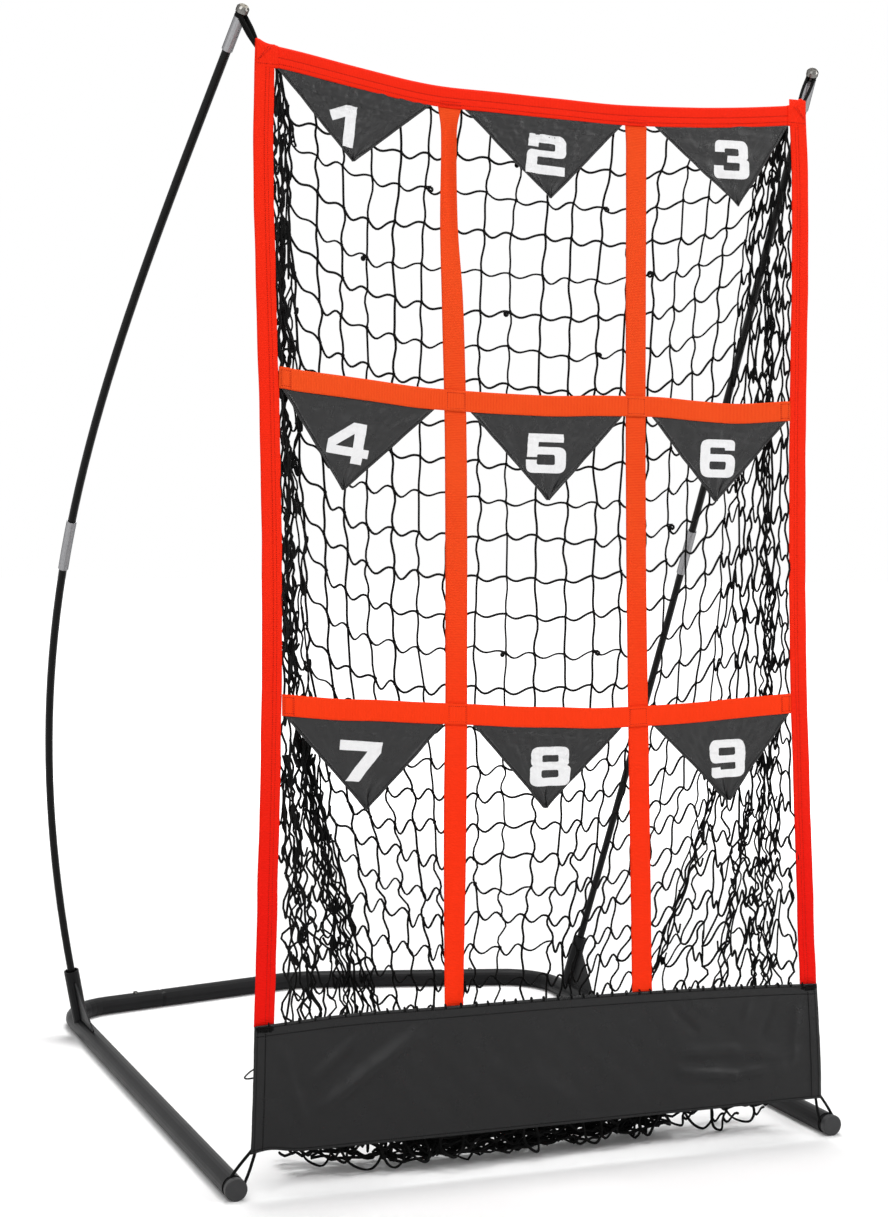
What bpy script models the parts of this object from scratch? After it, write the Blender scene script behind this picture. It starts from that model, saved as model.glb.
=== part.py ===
"""Pitching target net: a bent tube base, two curved poles and a nine-window webbing face with a net
bag behind it. Metres, +Z up, the face looks along -Y, the middle of the base is the origin."""
import math

import bmesh
import bpy
from mathutils import Vector

# ---- clearances -------------------------------------------------------------------------------
gap = 0.0003               # left between pieces that touch
hingeGap = 0.0008          # band edge to the pennant's folding line

# ---- base -------------------------------------------------------------------------------------
legSpan = 0.950            # between the leg centre lines
baseDepth = 1.193          # end cap faces to the back of the rear bend
tubeDiameter = 0.03175
tubeWall = 0.0016
cornerBendRadius = 0.100   # centre line of the corner between leg and stub
rearBendRadius = 0.170     # centre line of the bend in the middle
rearRise = 0.116           # rear bend behind the corners, measured along Y
seamReach = 0.2865         # middle to each seam, along X
neckLength = 0.007         # swaged taper that shows at the seam
spigotReach = 0.085        # length of spigot inside each side tube
buttonInset = 0.054        # seam to the snap button
buttonDiameter = 0.008
buttonProud = 0.003
buttonDomeShare = 0.12     # of the button's diameter
buttonCollar = 0.0105
collarHeight = 0.0012
springWidth = 0.007
springThickness = 0.0007
springLength = 0.030
capRim = 0.009
capChamfer = 0.0012
grooveWidth = 0.008
plugLength = 0.020

# ---- pole sockets -----------------------------------------------------------------------------
socketSetback = 0.944      # end cap face to the socket's foot
socketLean = math.radians(12.3)      # outwards
socketRake = math.radians(7.0)       # forwards
socketLength = 0.1078      # leg axis to the mouth
socketDiameter = 0.0254
socketBore = 0.021
gussetThickness = 0.0025
gussetTop = 0.088          # along the socket, from the leg axis
gussetFoot = 0.106         # along the leg, from the socket's foot
gussetBlunt = 0.003        # width left at both tips of the gusset

# ---- poles ------------------------------------------------------------------------------------
rodDiameter = 0.0127
ferruleDiameter = 0.016
midFerruleLength = 0.090
midFerruleShare = 0.46     # of the pole's length
tipFerruleLength = 0.052
neckDiameter = 0.009
headDiameter = 0.018
headLength = 0.011
stemLength = 0.020
tipLean = math.radians(11.1)         # inwards
tipRake = math.radians(39.25)        # forwards
tipOutset = 0.0164         # head centre outside the face's top corner
tipSetback = 0.0085        # and behind it
tipRise = 0.0455           # and above it
lowerHandle = 0.42         # shares of the face height that shape the pole's bow
upperHandle = 0.3975
stationStep = 0.040

# ---- face -------------------------------------------------------------------------------------
faceTop = 1.585            # top corners above the floor
faceLean = math.radians(3.94)
faceSetback = 0.001        # face plane behind the cap faces at floor level
# shares of the face height, each with the inset of the face's edge from the leg line
waist = ((0.037, 0.020), (0.24, 0.031), (0.48, 0.040), (0.66, 0.038), (0.90, 0.030), (1.0, 0.034))
sleeveWidth = 0.029
sleeveThickness = 0.0033
bandWidth = 0.030
bandThickness = 0.0015
innerBandWidth = 0.033
innerBandShare = 0.305     # of half the leg span
upperRowShare = 0.7196     # heights of the cross bands, of the face height
lowerRowShare = 0.4347
# drop of each band's upper edge below its row's height: left sleeve, inner bands, right sleeve
topDips = (0.001, 0.0345, 0.0345, 0.0085)
upperDips = (0.0, 0.0220, 0.0200, 0.0190)
lowerDips = (0.0, 0.0175, 0.0260, 0.0110)
skirtTop = 0.2345
skirtBottom = 0.060
skirtRise = 0.009          # middle of the top hem above its ends
skirtShoulder = 0.66       # share of the half width from which the hem falls
skirtThickness = 0.0012
tuckBehindSkirt = 0.012

# ---- pennants ---------------------------------------------------------------------------------
pennantClear = 0.006       # each side, to the upright bands
pennantDrop = 0.118
pennantThickness = 0.0008
pennantTip = 0.006         # width of the blunt tip
tipShifts = (0.0, 0.006, 0.024, -0.024, 0.0, -0.006, 0.0, -0.005, 0.008)

# ---- net and loops ----------------------------------------------------------------------------
netThickness = 0.003
netRest = 0.0005           # above the floor
netEdge = 0.006            # net edge inside the face's outer edge
# shares of the net's top, each with the bag's depth and the inset of its back's sides
netDepths = ((1.0, 0.005, 0.004), (0.97, 0.050, 0.030), (0.84, 0.070, 0.041), (0.53, 0.074, 0.069),
             (0.27, 0.106, 0.128))
netSillShare = 0.15        # of the floor setback, by which the bag deepens down to the skirt
netFloorSetback = 0.083    # bag's front edge on the floor, behind the face plane
netFloorDepth = 0.063
netFloorInset = 0.040      # its front corners, in from the face's edge
netFloorBack = 0.140       # and its back corners
topCord = 0.005
bottomCord = 0.004
pinRadius = 0.0035         # bend of a loop where it is sewn to a corner
pinSlant = 0.85            # share of that radius that a top loop's slant adds behind the face

tubeSides = 20
rodSides = 16
cordSides = 8

zAxis = Vector((0.0, 0.0, 1.0))
xAxis = Vector((1.0, 0.0, 0.0))
yAxis = Vector((0.0, 1.0, 0.0))
sides = (("left", -1.0), ("right", 1.0))

# ---- derived places ---------------------------------------------------------------------------
halfSpan = legSpan / 2.0
axisHeight = tubeDiameter / 2.0
frontY = -baseDepth / 2.0
rearAngle = math.atan2(rearRise, halfSpan)
apexY = baseDepth / 2.0 - axisHeight + rearBendRadius * (1.0 / math.cos(rearAngle) - 1.0)
cornerY = apexY - rearRise
seamRun = seamReach / math.cos(rearAngle)
boreDiameter = tubeDiameter - 2.0 * tubeWall
spigotDiameter = boreDiameter - 2.0 * gap
spigotBore = spigotDiameter - 2.0 * tubeWall
buttonRun = seamRun + buttonInset
legEnd = frontY + capRim + grooveWidth
grooveY = frontY + capRim + grooveWidth / 2.0
grooveDiameter = tubeDiameter - 2.0 * bottomCord - 8.0 * gap
socketFoot = frontY + socketSetback
neckRun = topCord + 4.0 * gap
ferruleBore = rodDiameter + 2.0 * gap
innerBandX = halfSpan * innerBandShare
netTop = faceTop - max(topDips) - bandWidth / 2.0


def acrossToRadius(across, count):
    """Corner radius of a regular outline from its width across flats."""
    return across / 2.0 / math.cos(math.pi / count)


def ring(centre, tangent, across, count, up):
    """Corners of a regular outline square to the tangent, one flat facing along up."""
    side = tangent.cross(up).normalized()
    lift = side.cross(tangent).normalized()
    radius = acrossToRadius(across, count)
    turns = [2.0 * math.pi * (k + 0.5) / count for k in range(count)]
    return [centre + (lift * math.cos(a) + side * math.sin(a)) * radius for a in turns]


def finishObject(name, bm, colour, roughness, metallic, origin=None, smooth=True):
    """Turns the mesh under construction into a named object with a material of its own."""
    bmesh.ops.recalc_face_normals(bm, faces=bm.faces)
    if bm.calc_volume(signed=True) < 0.0:
        bmesh.ops.reverse_faces(bm, faces=bm.faces)
    mesh = bpy.data.meshes.new(name)
    if origin is not None:
        bmesh.ops.translate(bm, verts=bm.verts, vec=-origin)
    bm.to_mesh(mesh)
    bm.free()
    if smooth:
        mesh.shade_smooth()
        mesh.set_sharp_from_angle(angle=math.radians(40.0))
    piece = bpy.data.objects.new(name, mesh)
    if origin is not None:
        piece.location = origin
    bpy.context.scene.collection.objects.link(piece)
    material = bpy.data.materials.new(name + "_finish")
    material.use_nodes = True
    shader = material.node_tree.nodes["Principled BSDF"]
    shader.inputs["Base Color"].default_value = (*colour, 1.0)
    shader.inputs["Roughness"].default_value = roughness
    shader.inputs["Metallic"].default_value = metallic
    mesh.materials.append(material)
    return piece


def skin(loops, closed):
    """Joins equal loops of points into one body, as a ring where closed, or with flat ends."""
    bm = bmesh.new()
    rows = [[bm.verts.new(p) for p in loop] for loop in loops]
    pairs = list(zip(rows, rows[1:]))
    if closed:
        pairs.append((rows[-1], rows[0]))
    for low, high in pairs:
        for k in range(len(low)):
            bm.faces.new((low[k - 1], low[k], high[k], high[k - 1]))
    if not closed:
        bm.faces.new(rows[0])
        bm.faces.new(rows[-1])
    return bm


def sweep(outer, bore, count, up):
    """Body along (point, tangent, width) stations, hollow where bore stations are given."""
    loops = [ring(p, t, d, count, up) for p, t, d in outer]
    loops += [ring(p, t, d, count, up) for p, t, d in reversed(bore)]
    return skin(loops, bool(bore))


def plate(name, first, second, front, back, colour, roughness):
    """Flat piece on the face between two edges of (x, z) points, from one lift to another."""
    loops = []
    for (xa, za), (xb, zb) in zip(first, second):
        loops.append([faceAt(xa, za, front), faceAt(xb, zb, front),
                      faceAt(xb, zb, back), faceAt(xa, za, back)])
    return finishObject(name, skin(loops, False), colour, roughness, 0.0, smooth=False)


def addCutter(name, bm, targets):
    """Hidden cutter, taken out of its targets."""
    bmesh.ops.recalc_face_normals(bm, faces=bm.faces)
    mesh = bpy.data.meshes.new(name)
    bm.to_mesh(mesh)
    bm.free()
    cutter = bpy.data.objects.new(name, mesh)
    bpy.context.scene.collection.objects.link(cutter)
    cutter.hide_render = True
    cutter.display_type = "WIRE"
    for target in targets:
        cut = target.modifiers.new(name, "BOOLEAN")
        cut.operation = "DIFFERENCE"
        cut.solver = "EXACT"
        cut.object = cutter


def bend(before, corner, after, radius, steps):
    """Points and tangents of a round bend between two straight runs."""
    inward = (corner - before).normalized()
    outward = (after - corner).normalized()
    turn = inward.angle(outward)
    reach = radius * math.tan(turn / 2.0)
    start = corner - inward * reach
    centreway = (outward - inward * math.cos(turn)).normalized()
    centre = start + centreway * radius
    stations = []
    for k in range(steps + 1):
        a = turn * k / steps
        spoke = -centreway * math.cos(a) + inward * math.sin(a)
        tangent = inward * math.cos(a) + centreway * math.sin(a)
        stations.append((centre + spoke * radius, tangent))
    return stations


# ---- base pieces ------------------------------------------------------------------------------
black = (0.022, 0.022, 0.023)


def rearPoint(sign, run):
    """Point of the rear centre line at a run from the middle corner, and its outward direction."""
    along = Vector((sign * math.cos(rearAngle), -math.sin(rearAngle), 0.0))
    return Vector((0.0, apexY, axisHeight)) + along * run, along


def sideTube(name, sign):
    start = Vector((sign * halfSpan, legEnd + gap, axisHeight))
    corner = Vector((sign * halfSpan, cornerY, axisHeight))
    end, along = rearPoint(sign, seamRun + neckLength / 2.0 + gap)
    path = [(start, yAxis), *bend(start, corner, end, cornerBendRadius, 8), (end, -along)]
    outer = [(p, t, tubeDiameter) for p, t in path]
    bore = [(p, t, boreDiameter) for p, t in path]
    return finishObject(name, sweep(outer, bore, tubeSides, zAxis), black, 0.42, 0.0)


def rearCrossTube():
    def half(sign, taper):
        ends = [rearPoint(sign, seamRun + neckLength / 2.0 + spigotReach)[0],
                rearPoint(sign, seamRun + neckLength / 2.0)[0],
                rearPoint(sign, seamRun - neckLength / 2.0)[0]]
        way = rearPoint(sign, 0.0)[1] * -sign
        return [(p, way, d) for p, d in zip(ends, taper)]
    taper = (spigotDiameter, spigotDiameter, tubeDiameter)
    left, right = half(-1.0, taper), half(1.0, taper)
    apex = Vector((0.0, apexY, axisHeight))
    middle = [(p, t, tubeDiameter) for p, t in bend(left[2][0], apex, right[2][0], rearBendRadius, 6)]
    outer = left + middle + [(p, -t, d) for p, t, d in reversed(right)]
    outer = [(p, t if t.x > 0.0 else -t, d) for p, t, d in outer]
    bore = [(p, t, spigotBore) for p, t, d in outer]
    return finishObject("rear_cross_tube", sweep(outer, bore, tubeSides, zAxis), black, 0.42, 0.0)


def buttonHoles(side, sign, targets):
    foot = rearPoint(sign, buttonRun)[0]
    top = foot + zAxis * tubeDiameter
    stations = [(p, zAxis, buttonDiameter + 2.0 * gap) for p in (foot, top)]
    addCutter("cutter_" + side + "_button_hole", sweep(stations, [], rodSides, yAxis), targets)


def snapButton(side, sign):
    foot = rearPoint(sign, buttonRun)[0]
    boreRadius = spigotBore / 2.0
    collarTop = math.sqrt(boreRadius ** 2 - (buttonCollar / 2.0) ** 2) - gap
    top = axisHeight + buttonProud
    dome = buttonDiameter * buttonDomeShare
    profile = ((collarTop - collarHeight, buttonCollar), (collarTop, buttonCollar),
               (collarTop, buttonDiameter), (top - dome, buttonDiameter),
               (top - dome * 0.3, buttonDiameter * 0.85), (top, buttonDiameter * 0.5))
    stations = [(foot + zAxis * z, zAxis, d) for z, d in profile]
    body = sweep(stations, [], rodSides, yAxis)
    finishObject(side + "_snap_button", body, (0.55, 0.55, 0.57), 0.3, 1.0, origin=foot)
    return collarTop - collarHeight - gap


def snapSpring(side, sign, topHeight):
    """Folded leaf in the spigot's bore, its upper leaf under the button's collar."""
    foot, along = rearPoint(sign, buttonRun)
    half = springWidth / 2.0
    floor = math.sqrt((spigotBore / 2.0) ** 2 - half ** 2) - gap
    mid = (topHeight - floor) / 2.0
    reach = (topHeight + floor) / 2.0
    outline = [(-half, topHeight), (springLength - reach, topHeight)]
    turns = [math.pi * (0.5 - k / 6.0) for k in range(7)]
    outline += [(springLength - reach + reach * math.cos(a), mid + reach * math.sin(a)) for a in turns]
    outline += [(-half, -floor)]
    inner = [(-half, topHeight - springThickness), (springLength - reach, topHeight - springThickness)]
    tight = reach - springThickness
    inner += [(springLength - reach + tight * math.cos(a), mid + tight * math.sin(a)) for a in turns]
    inner += [(-half, -floor + springThickness)]
    across = along.cross(zAxis) * half

    def place(r, z):
        return foot + along * r + zAxis * z
    loops = [[place(*o) + across, place(*o) - across, place(*i) - across, place(*i) + across]
             for o, i in zip(outline, inner)]
    finishObject(side + "_snap_spring", skin(loops, False), (0.4, 0.4, 0.42), 0.35, 1.0)


def legEndCap(side, sign):
    plug = boreDiameter - 2.0 * gap
    profile = ((0.0, tubeDiameter - 2.0 * capChamfer), (capChamfer, tubeDiameter),
               (capRim, tubeDiameter), (capRim, grooveDiameter),
               (capRim + grooveWidth, grooveDiameter), (capRim + grooveWidth, plug),
               (capRim + grooveWidth + plugLength, plug))
    stations = [(Vector((sign * halfSpan, frontY + y, axisHeight)), yAxis, d) for y, d in profile]
    body = sweep(stations, [], tubeSides, zAxis)
    finishObject(side + "_leg_end_cap", body, (0.035, 0.035, 0.036), 0.55, 0.0)


# ---- sockets and poles ------------------------------------------------------------------------
def leaning(sign, lean, rake):
    return Vector((sign * math.tan(lean), -math.tan(rake), 1.0)).normalized()


def poleSocket(side, sign):
    foot = Vector((sign * halfSpan, socketFoot, axisHeight))
    way = leaning(sign, socketLean, socketRake)
    ends = [foot + way * (axisHeight / 3.0), foot + way * socketLength]
    outer = [(p, way, socketDiameter) for p in ends]
    bore = [(p, way, socketBore) for p in ends]
    body = sweep(outer, bore, rodSides, xAxis)
    socket = finishObject(side + "_pole_socket", body, black, 0.42, 0.0)
    saddle = [(foot + yAxis * y, yAxis, tubeDiameter + 2.0 * gap) for y in (-socketLength, socketLength)]
    addCutter("cutter_" + side + "_saddle", sweep(saddle, [], tubeSides, zAxis), [socket])


def socketGusset(side, sign):
    """Thin triangular web between the front of the socket and the top of the leg."""
    foot = Vector((sign * halfSpan, socketFoot, axisHeight))
    way = leaning(sign, socketLean, socketRake)
    upright = Vector((way.x, 0.0, way.z)).normalized()
    tilt = math.atan2(-way.y, way.dot(upright))
    offset = acrossToRadius(socketDiameter, rodSides) + gap
    base = acrossToRadius(tubeDiameter, tubeSides) + gap

    def onSocket(run):
        return (run * math.sin(tilt) + offset * math.cos(tilt),
                run * math.cos(tilt) - offset * math.sin(tilt))
    heel = onSocket((base + offset * math.sin(tilt)) / math.cos(tilt))
    top = onSocket(gussetTop)
    corners = (heel, (gussetFoot, base), (gussetFoot, base + gussetBlunt),
               (top[0] + gussetBlunt, top[1]), top)
    thick = upright.cross(yAxis) * (gussetThickness / 2.0)
    flat = [foot - yAxis * u + upright * v for u, v in corners]
    bm = skin([[p + thick for p in flat], [p - thick for p in flat]], False)
    finishObject(side + "_socket_gusset", bm, black, 0.42, 0.0, smooth=False)


def polePath(sign):
    """Pole centre line as straight steps: distances from the socket's mouth and their points."""
    way = leaning(sign, socketLean, socketRake)
    tipWay = leaning(-sign, tipLean, tipRake)
    mouth = Vector((sign * halfSpan, socketFoot, axisHeight)) + way * socketLength
    corner = faceAt(sign * halfWidthAt(faceTop), faceTop, 0.0)
    tip = corner + Vector((sign * tipOutset, tipSetback, tipRise))
    lower = mouth + way * (lowerHandle * faceTop)
    upper = tip - tipWay * (upperHandle * faceTop)
    fine = []
    for k in range(401):
        t = k / 400.0
        r = 1.0 - t
        fine.append(mouth * r ** 3 + lower * (3 * r * r * t) + upper * (3 * r * t * t) + tip * t ** 3)
    runs = [0.0]
    for a, b in zip(fine, fine[1:]):
        runs.append(runs[-1] + (b - a).length)
    count = round(runs[-1] / stationStep)
    stations = [(-socketLength, mouth - way * socketLength)]
    index = 0
    for k in range(count + 1):
        run = runs[-1] * k / count
        while runs[index + 1] < run and index < len(runs) - 2:
            index += 1
        share = (run - runs[index]) / (runs[index + 1] - runs[index])
        stations.append((run, fine[index].lerp(fine[index + 1], share)))
    end = stations[-1][1]
    stations.append((runs[-1] + headLength, end + (end - stations[-2][1]).normalized() * headLength))
    return stations


def polePiece(stations, outer, bore):
    """Body along the pole from (run, width) pairs in order. Stations in between are added."""
    def fill(profile):
        rings = []
        for (runA, widthA), (runB, widthB) in zip(profile, profile[1:]):
            rings.append((runA, widthA))
            inside = [run for run, _ in stations if runA + 1e-6 < run < runB - 1e-6]
            rings += [(run, widthA + (widthB - widthA) * (run - runA) / (runB - runA)) for run in inside]
        return [*rings, profile[-1]]

    def place(run, width):
        for (runA, a), (runB, b) in zip(stations, stations[1:]):
            if run <= runB + 1e-9:
                break
        index = [s[0] for s in stations].index(runB)
        tangent = (b - a).normalized()
        if abs(run - runB) < 1e-9 and index < len(stations) - 1:
            tangent = (tangent + (stations[index + 1][1] - b).normalized()).normalized()
        return a.lerp(b, (run - runA) / (runB - runA)), tangent, width
    first = [place(*p) for p in fill(outer)]
    second = [place(*p) for p in fill(bore)] if bore else []
    return sweep(first, second, rodSides, xAxis)


def pole(side, sign):
    stations = polePath(sign)
    length = stations[-2][0]
    middle = midFerruleShare * length
    way = leaning(sign, socketLean, socketRake)
    square = math.sqrt(1.0 - way.y ** 2)
    rest = (acrossToRadius(tubeDiameter, tubeSides) + gap
            + acrossToRadius(rodDiameter, rodSides) * abs(way.y)) / square
    headFoot = length - headLength / 2.0
    ferruleTop = headFoot - neckRun
    rodTop = ferruleTop - stemLength - gap
    ferruleFoot = ferruleTop - tipFerruleLength
    rod = rodDiameter
    lower = polePiece(stations, ((rest - socketLength, rod), (middle - gap / 2.0, rod)), ())
    finishObject(side + "_pole_lower_rod", lower, (0.018, 0.018, 0.018), 0.35, 0.0)
    upper = polePiece(stations, ((middle + gap / 2.0, rod), (rodTop, rod)), ())
    finishObject(side + "_pole_upper_rod", upper, (0.018, 0.018, 0.018), 0.35, 0.0)
    for label, start, end in (("mid", middle - midFerruleLength / 2.0, middle + midFerruleLength / 2.0),
                              ("tip", ferruleFoot, ferruleTop)):
        body = polePiece(stations, ((start, ferruleDiameter), (end, ferruleDiameter)),
                         ((start, ferruleBore), (end, ferruleBore)))
        finishObject(side + "_pole_" + label + "_ferrule", body, (0.42, 0.42, 0.43), 0.45, 1.0)
    edge = headLength * 0.15
    profile = ((ferruleTop - stemLength, rod), (ferruleTop, rod), (ferruleTop, neckDiameter),
               (headFoot, neckDiameter), (headFoot, headDiameter - 2.0 * edge),
               (headFoot + edge, headDiameter), (headFoot + headLength - 2.0 * edge, headDiameter),
               (headFoot + headLength, headDiameter * 0.7))
    cap = polePiece(stations, profile, ())
    finishObject(side + "_pole_tip_cap", cap, (0.62, 0.62, 0.63), 0.2, 1.0)
    end = stations[-2][1]
    way = (end - stations[-3][1]).normalized()
    return end - way * (headLength / 2.0 + neckRun / 2.0), way


# ---- face -------------------------------------------------------------------------------------
def faceAt(x, z, lift):
    """Point on the leaning face plane, lifted towards the front."""
    return Vector((x, frontY + faceSetback + z * math.tan(faceLean) - lift, z))


def halfWidthAt(z):
    """Half the face's width at a height: a smooth curve through the waist's places."""
    share = min(max(z / faceTop, waist[0][0]), 1.0)
    index = max(k for k in range(len(waist) - 1) if waist[k][0] <= share)
    (h0, w0), (h1, w1) = waist[index], waist[index + 1]

    def slope(k):
        k = min(max(k, 0), len(waist) - 1)
        a, b = waist[max(k - 1, 0)], waist[min(k + 1, len(waist) - 1)]
        return (b[1] - a[1]) / (b[0] - a[0])
    t = (share - h0) / (h1 - h0)
    step = h1 - h0
    inset = ((2 * t ** 3 - 3 * t * t + 1) * w0 + (t ** 3 - 2 * t * t + t) * step * slope(index)
             + (3 * t * t - 2 * t ** 3) * w1 + (t ** 3 - t * t) * step * slope(index + 1))
    return halfSpan - inset


def rowEdge(rowTop, dips, x):
    """Height of a cross band's upper edge: straight between the upright bands."""
    outer = halfWidthAt(rowTop) - sleeveWidth
    nodes = [(-outer, dips[0]), (-innerBandX, dips[1]), (innerBandX, dips[2]), (outer, dips[3])]
    for (xa, da), (xb, db) in zip(nodes, nodes[1:]):
        if x <= xb:
            break
    return rowTop - da - (db - da) * (x - xa) / (xb - xa)


def skirtEdge(x):
    """Height of the skirt's top hem, level in the middle and falling towards its ends."""
    half = halfWidthAt(skirtTop)
    fall = max(abs(x) / half - skirtShoulder, 0.0) / (1.0 - skirtShoulder)
    return skirtTop + skirtRise * (1.0 - min(fall, 1.0))


topRow = (faceTop, topDips)
upperRow = (faceTop * upperRowShare, upperDips)
lowerRow = (faceTop * lowerRowShare, lowerDips)
webbing = (1.0, 0.065, 0.012)
binding = (1.0, 0.03, 0.006)
frontLift = (gap / 2.0 + bandThickness, gap / 2.0)
backLift = (-gap / 2.0, -gap / 2.0 - bandThickness)


def crossBand(name, row, lifts, colour):
    """Band across the face from sleeve to sleeve, its ends cut along the sleeves' inner edges."""
    top, dips = row

    def clear(sign, z):
        return sign * (halfWidthAt(z) - sleeveWidth - gap)
    ends = [rowEdge(top, dips, clear(sign, top)) for sign in (-1.0, 1.0)]
    upper = [(clear(-1.0, ends[0]), ends[0])]
    lower = [(clear(-1.0, ends[0] - bandWidth), ends[0] - bandWidth)]
    for x in (-innerBandX, innerBandX):
        z = rowEdge(top, dips, x)
        upper.append((x, z))
        lower.append((x, z - bandWidth))
    upper.append((clear(1.0, ends[1]), ends[1]))
    lower.append((clear(1.0, ends[1] - bandWidth), ends[1] - bandWidth))
    plate(name, upper, lower, *lifts, colour, 0.75)


def sideSleeve(side, sign):
    low = skirtEdge(halfWidthAt(skirtTop)) + gap
    outer, inner = [], []
    for k in range(13):
        z = low + (faceTop - low) * k / 12.0
        outer.append((sign * halfWidthAt(z), z))
        inner.append((sign * (halfWidthAt(z) - sleeveWidth), z))
    dip = topDips[0] if sign < 0.0 else topDips[3]
    inner[0] = (inner[0][0], skirtEdge(inner[0][0]) + gap)
    inner[-1] = (inner[-1][0], faceTop - dip)
    half = sleeveThickness / 2.0
    plate(side + "_side_sleeve", outer, inner, half, -half, binding, 0.75)


def innerVerticalBand(side, sign):
    half = innerBandWidth / 2.0
    across = [sign * innerBandX + x for x in (-half, 0.0, half)]
    upper = [(x, rowEdge(*topRow, x) - bandWidth - gap) for x in across]
    lower = [(x, skirtEdge(x) - tuckBehindSkirt) for x in across]
    plate(side + "_inner_vertical_band", upper, lower, *backLift, webbing, 0.75)


def skirt():
    half = halfWidthAt(skirtTop)
    upper, lower = [], []
    for share in (-1.0, -skirtShoulder, skirtShoulder, 1.0):
        x = half * share
        upper.append((x, skirtEdge(x)))
        lower.append((halfWidthAt(skirtBottom) * share, skirtBottom))
    lifts = (gap / 2.0 + skirtThickness, gap / 2.0)
    plate("skirt", upper, lower, *lifts, (0.02, 0.02, 0.021), 0.5)


def pennant(number):
    """Three-cornered flag hung plumb from the band above its window, its origin on the fold."""
    row, column = divmod(number - 1, 3)
    top, dips = (topRow, upperRow, lowerRow)[row]
    innerEdge = innerBandX - innerBandWidth / 2.0
    outerEdge = innerBandX + innerBandWidth / 2.0
    sleeve = halfWidthAt(top - bandWidth) - sleeveWidth
    low, high = ((-sleeve, -outerEdge), (-innerEdge, innerEdge), (outerEdge, sleeve))[column]
    ends = (low + pennantClear, high - pennantClear)
    left, right = [faceAt(x, rowEdge(top, dips, x) - bandWidth - hingeGap, 0.0) for x in ends]
    fold = (left + right) / 2.0
    tip = fold + xAxis * tipShifts[number - 1] - zAxis * pennantDrop
    blunt = xAxis * (pennantTip / 2.0)
    corners = [left, right, tip + blunt, tip - blunt]
    square = (right - left).cross(zAxis).normalized() * (pennantThickness / 2.0)
    bm = skin([[p + square for p in corners], [p - square for p in corners]], False)
    finishObject("pennant_%d" % number, bm, (0.028, 0.028, 0.03), 0.7, 0.0, origin=fold, smooth=False)


# ---- net bag and loops ------------------------------------------------------------------------
def netBag():
    """Hollow bag behind the face: open towards the windows, closed behind and under the skirt."""
    bottom = skirtTop - tuckBehindSkirt
    behind = -sleeveThickness / 2.0 - gap
    levels = []
    for share, depth, inset in netDepths:
        half = halfWidthAt(netTop * share) - netEdge
        levels.append((netTop * share, half, 0.0, half - inset, depth))
    half = halfWidthAt(bottom) - netEdge
    _, depth, inset = netDepths[-1]
    levels.append((bottom, half, 0.0, half - inset, depth + netFloorSetback * netSillShare))
    half = halfWidthAt(0.0)
    levels.append((netRest, half - netFloorInset, netFloorSetback,
                   half - netFloorBack, netFloorSetback + netFloorDepth))
    last = len(levels) - 1
    bm = bmesh.new()

    def level(k, wall):
        """One level's points from left to right, set in by a wall. The two top levels follow the
        band's dip, and the wall keeps its thickness where the slanting sides meet front and back."""
        z, halfFront, near, halfBack, far = levels[k]
        run, depth = halfFront - halfBack, far - near
        slant = wall * math.hypot(run, depth)
        shut = wall if k >= last - 1 else 0.0
        front = (halfFront - (slant + shut * run) / depth, near + shut)
        back = (halfBack - (slant - wall * run) / depth, far - wall)
        places = []
        for px, away in ((-front[0], front[1]), (-back[0], back[1]), (-innerBandX, back[1]),
                         (innerBandX, back[1]), back, front):
            dip = max(topDips) - faceTop + rowEdge(*topRow, px) if k < 2 else 0.0
            place = faceAt(px, z + dip, behind)
            places.append(bm.verts.new((px, place.y + away, place.z + (wall if k == last else 0.0))))
        return places
    outer = [level(k, 0.0) for k in range(last + 1)]
    inner = [level(k, netThickness) for k in range(last + 1)]
    for rows in (outer, inner):
        for high, low in zip(rows, rows[1:]):
            for k in (0, 1, 3, 4):     # split alike on both walls and mirrored left to right
                near, far = (k, k + 1) if k < 2 else (k + 1, k)
                bm.faces.new((high[near], high[far], low[far]))
                bm.faces.new((high[near], low[far], low[near]))
            bm.faces.new((high[2], high[3], low[3], low[2]))
        bm.faces.new((rows[-2][0], rows[-1][0], rows[-1][5], rows[-2][5]))
        bm.faces.new(rows[-1])
    rims = [(outer[k][j], outer[k + 1][j], inner[k + 1][j], inner[k][j])
            for k in range(last - 1) for j in (0, 5)]
    rims += [(outer[0][j], outer[0][j + 1], inner[0][j + 1], inner[0][j]) for j in range(5)]
    rims.append((outer[-2][0], outer[-2][5], inner[-2][5], inner[-2][0]))
    for rim in rims:
        bm.faces.new(rim)
    finishObject("net_bag", bm, (0.01, 0.01, 0.01), 0.8, 0.0, smooth=False)


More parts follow.
